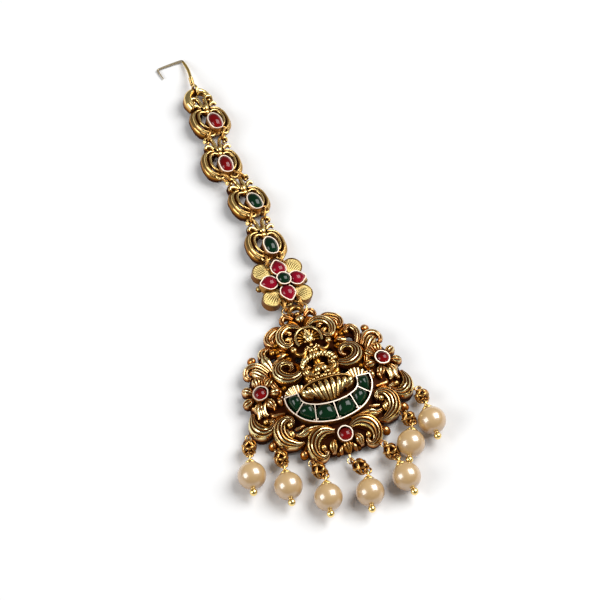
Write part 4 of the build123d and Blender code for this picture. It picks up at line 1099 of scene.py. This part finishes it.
# ---------------- chain links
# Each link is cast in one: two ribbed lobes like an onion's curve round a raised oval setting,
# and above them a crest of curls whose ends form the eyes. The top link ends in an arch.
LINK_ROLL, LINK_TURNS = 15, {1: 5.0, 2: -3.0, 3: 10.0, 4: 0.0}  # degrees, as the links lie
STONE_W, STONE_L, STONE_Y = 2.7, 4.0, -1.6
LINK_HEART = (0, STONE_Y, 2.68)
LINK_BEZEL_FOOT, LINK_BEZEL_TOP = 0.3, 3.1
STONE_TIP, STONE_FULL = 0.02, 2.4
LINK_EYES = [(-EYE_X, -3.7), (EYE_X, -3.7)]
LOBES = [  # height of the middle line, run of the right half
    (-0.3, [
        (1.0, 2.9, 1.3), (2.5, 2.2, 1.5), (3.1, 0.6, 1.6), (3.0, -1.2, 1.6), (2.4, -2.4, 1.5),
        (1.2, -3.0, 1.3)]),
    (-0.2, [(1.0, 3.7, 1.4), (1.5, 4.8, 1.6), (1.7, 5.9, 1.2)]),
    (0.65, [
        (1.3, 3.3, 0.8), (2.75, 3.05, 1.0), (3.8, 1.9, 1.1), (4.1, 0.2, 1.15), (4.0, -1.4, 1.1),
        (3.3, -2.75, 1.1), (2.1, -3.5, 1.0), (0.9, -3.75, 0.9)]),
    (1.6, [
        (1.2, 3.1, 0.45), (2.6, 2.8, 0.6), (3.55, 1.65, 0.65), (3.85, 0.0, 0.65), (3.7, -1.4, 0.65),
        (2.9, -2.75, 0.6), (1.7, -3.5, 0.55), (0.6, -3.65, 0.45)]),
    (1.9, [
        (0.6, 2.0, 0.45), (1.6, 2.2, 0.55), (2.45, 1.6, 0.6), (2.85, 0.3, 0.6), (2.75, -0.9, 0.6),
        (2.2, -2.05, 0.55), (1.3, -2.8, 0.45)]),
    (1.8, [
        (0.5, 3.4, 0.75), (0.65, 4.3, 0.75), (0.7, 5.2, 0.75), (1.05, 6.1, 0.75), (1.9, 6.45, 0.7),
        (2.6, 6.05, 0.65), (2.4, 5.4, 0.6)]),
    (1.65, [(1.1, 3.5, 0.7), (1.7, 4.2, 0.8), (2.6, 4.4, 0.75), (2.95, 3.8, 0.5)]),
]
CREST_BEADS = [  # name, x, y, height, half sizes; both sides where x > 0
    ("crest heart", 0, 3.2, 2.0, 0.75, 0.8, 0.6), ("curl eye", 1.9, 5.4, 1.6, 0.42, 0.42, 0.42),
    ("web", 0, 2.3, 1.2, 1.2, 0.8, 0.9), ("web", 0, -3.4, 1.1, 1.5, 0.7, 0.9),
    ("heart bead", 0.32, 1.05, 2.4, 0.3, 0.3, 0.3),
]
ARCH = [(-2.6, 3.9, 1.6), (-2.85, 6.2, 1.9), (-1.9, 8.1, 1.7), (0, 8.8, 1.4), (1.75, 8.2, 1.2),
        (2.45, 6.3, 1.1), (2.4, 4.4, 1.0)]
ARCH_Z = 1.2
LINK_STONE_LEVELS = (1.66, 2.95, 4.15)  # foot, girdle and crown
RIDGE_HALF_W, RIDGE_HALF_L, RIDGE_Y = 4.1, 3.7, -0.3  # the oval of the lobes' outermost ridge
OUTSIDE_RUB = 0.75


def link_level(place):
    """The outside of the lobes is rubbed lower down than the hollows between their ridges."""
    x, y = place.x / MM, place.y / MM
    outside = (x / RIDGE_HALF_W) ** 2 + ((y - RIDGE_Y) / RIDGE_HALF_L) ** 2 > 1
    return place.z + (OUTSIDE_RUB * MM if outside else 0)


for number, turn in LINK_TURNS.items():
    place = leaning_place(f"link_stone_{number}", turn, LINK_ROLL, LINK_HEART)
    parts = []
    for lift, run in LOBES:
        right = level_run(run, lift)
        parts.append(strips("lobe", sections[1], [right, mirrored(right)]))
    parts += [bead(word, *row, 14, 9) for word, *row in both_sides(CREST_BEADS)]
    if number == 1:
        parts.append(strips("arch", sections[1], [level_run(ARCH, ARCH_Z)]))
    parts += link_eyes(LINK_EYES)
    body = with_levels(joined(f"onion_link_{number}", parts), link_level)
    body.data.transform(place)
    finished(body, 50, link_gold, "antique_gold", f"link_{number}")
    seat = place @ Matrix.Translation((0, STONE_Y * MM, 0))
    collar = bezel(
        f"oval_setting_{number}", STONE_W / 2 + BEZEL_WALL, STONE_L / 2 + BEZEL_WALL,
        LINK_BEZEL_FOOT, LINK_BEZEL_TOP, STONE_TIP, STONE_FULL,
    )
    collar.data.transform(seat)
    finished(collar, 40, bezel_gold, "antique_gold", f"link_{number}")
    outline = teardrop(STONE_W / 2 + 0.05, STONE_L / 2 + 0.05, STONE_TIP, STONE_FULL)
    gem = domed_stone(f"oval_stone_{number}", outline, *LINK_STONE_LEVELS)
    gem.data.transform(seat)
    colour, slot = (ruby, "ruby") if number < 3 else (emerald, "emerald")
    finished(gem, 180, colour, slot, f"link_stone_{number}")

# ---------------- jump rings and hair hook
# Plain round wire rings join the links in pairs. The hook is one wire: an eye round the top
# link's arch, a bound sleeve, a stem, a square bend and a thin return leg of bare steel.
HOOK_CORNERS = [  # x, y, z and thickness in mm, from the sleeve to the tip
    (0.239, 52.728, 2.591, 0.86), (0.989, 57.928, 1.3, 0.72), (0.569, 61.428, 0.57, 0.58),
    (-5.631, 61.078, 0.37, 0.44), (-5.091, 58.128, 0.37, 0.26),
]
HOOK_BENDS = [1.6, 0.5, 0.45]  # how far from its corner each bend begins
HOOK_EYE_AT, HOOK_EYE_R = (0, 8.85, 1.45), 1.3  # on the top link
HOOK_EYE_WIRE_R, COIL_WIRE_R = 0.33, 0.17
SLEEVE_TURNS, SLEEVE_R, SLEEVE_LONG = 8, 0.55, 2.5
stem_gold = bright_gold("hook stem", (0.72, 0.50, 0.14), (0.20, 0.12, 0.02), 0.25)
steel_wire = bright_gold("hook bar", (0.46, 0.38, 0.25), (0.16, 0.11, 0.06), 0.30)
ring_gold = bright_gold("ring gold", (0.60, 0.33, 0.09), (0.05, 0.015, 0.002), 0.30)
refinish(ring_gold, *[f"jump_ring_{k}_{side}" for k in range(1, 6) for side in ("left", "right")])

corners = [Vector(corner[:3]) for corner in HOOK_CORNERS]
thick = [corner[3] for corner in HOOK_CORNERS]
run = [(*corners[0], thick[0])]
for k, bend in enumerate(HOOK_BENDS, 1):
    for other in (corners[k - 1], corners[k + 1]):
        near = corners[k].lerp(other, bend / (other - corners[k]).length)
        run.append((*near, thick[k]))
    middle_of_bend = (Vector(run[-1][:3]) + Vector(run[-2][:3]) + 2 * corners[k]) / 4
    run.insert(-1, (*middle_of_bend, thick[k]))
run.append((*corners[-1], thick[-1]))
for name, part_of_run, finish in (("hook_stem", run[:5], stem_gold), ("hook_bar", run[4:], steel_wire)):
    bar = strips(name, round_wire, [part_of_run], steps=6, twist="MINIMUM")
    finished(bar, 60, finish, "antique_gold", "hair_hook")

top_place = leaning_place("link_stone_1", LINK_TURNS[1], LINK_ROLL, LINK_HEART)
eye = ring("hook eye", 0, 0, 0, HOOK_EYE_R, HOOK_EYE_WIRE_R, turn=(0, pi / 2, 0), around=40, thick=12)
eye.data.transform(top_place @ Matrix.Translation(Vector(HOOK_EYE_AT) * MM))
way = (corners[1] - corners[0]).normalized()
lean = way.to_track_quat("Z", "Y").to_matrix().to_4x4()
coils = [eye]
for k in range(SLEEVE_TURNS):
    up = corners[0] + way * SLEEVE_LONG * (k + 0.5) / SLEEVE_TURNS
    coil = ring("coil", 0, 0, 0, SLEEVE_R - COIL_WIRE_R, COIL_WIRE_R, around=24, thick=8)
    coil.data.transform(Matrix.Translation(up * MM) @ lean)
    coils.append(coil)
binding = with_levels(joined("hook_binding", coils))
finished(binding, 60, link_gold, "antique_gold", "hair_hook")
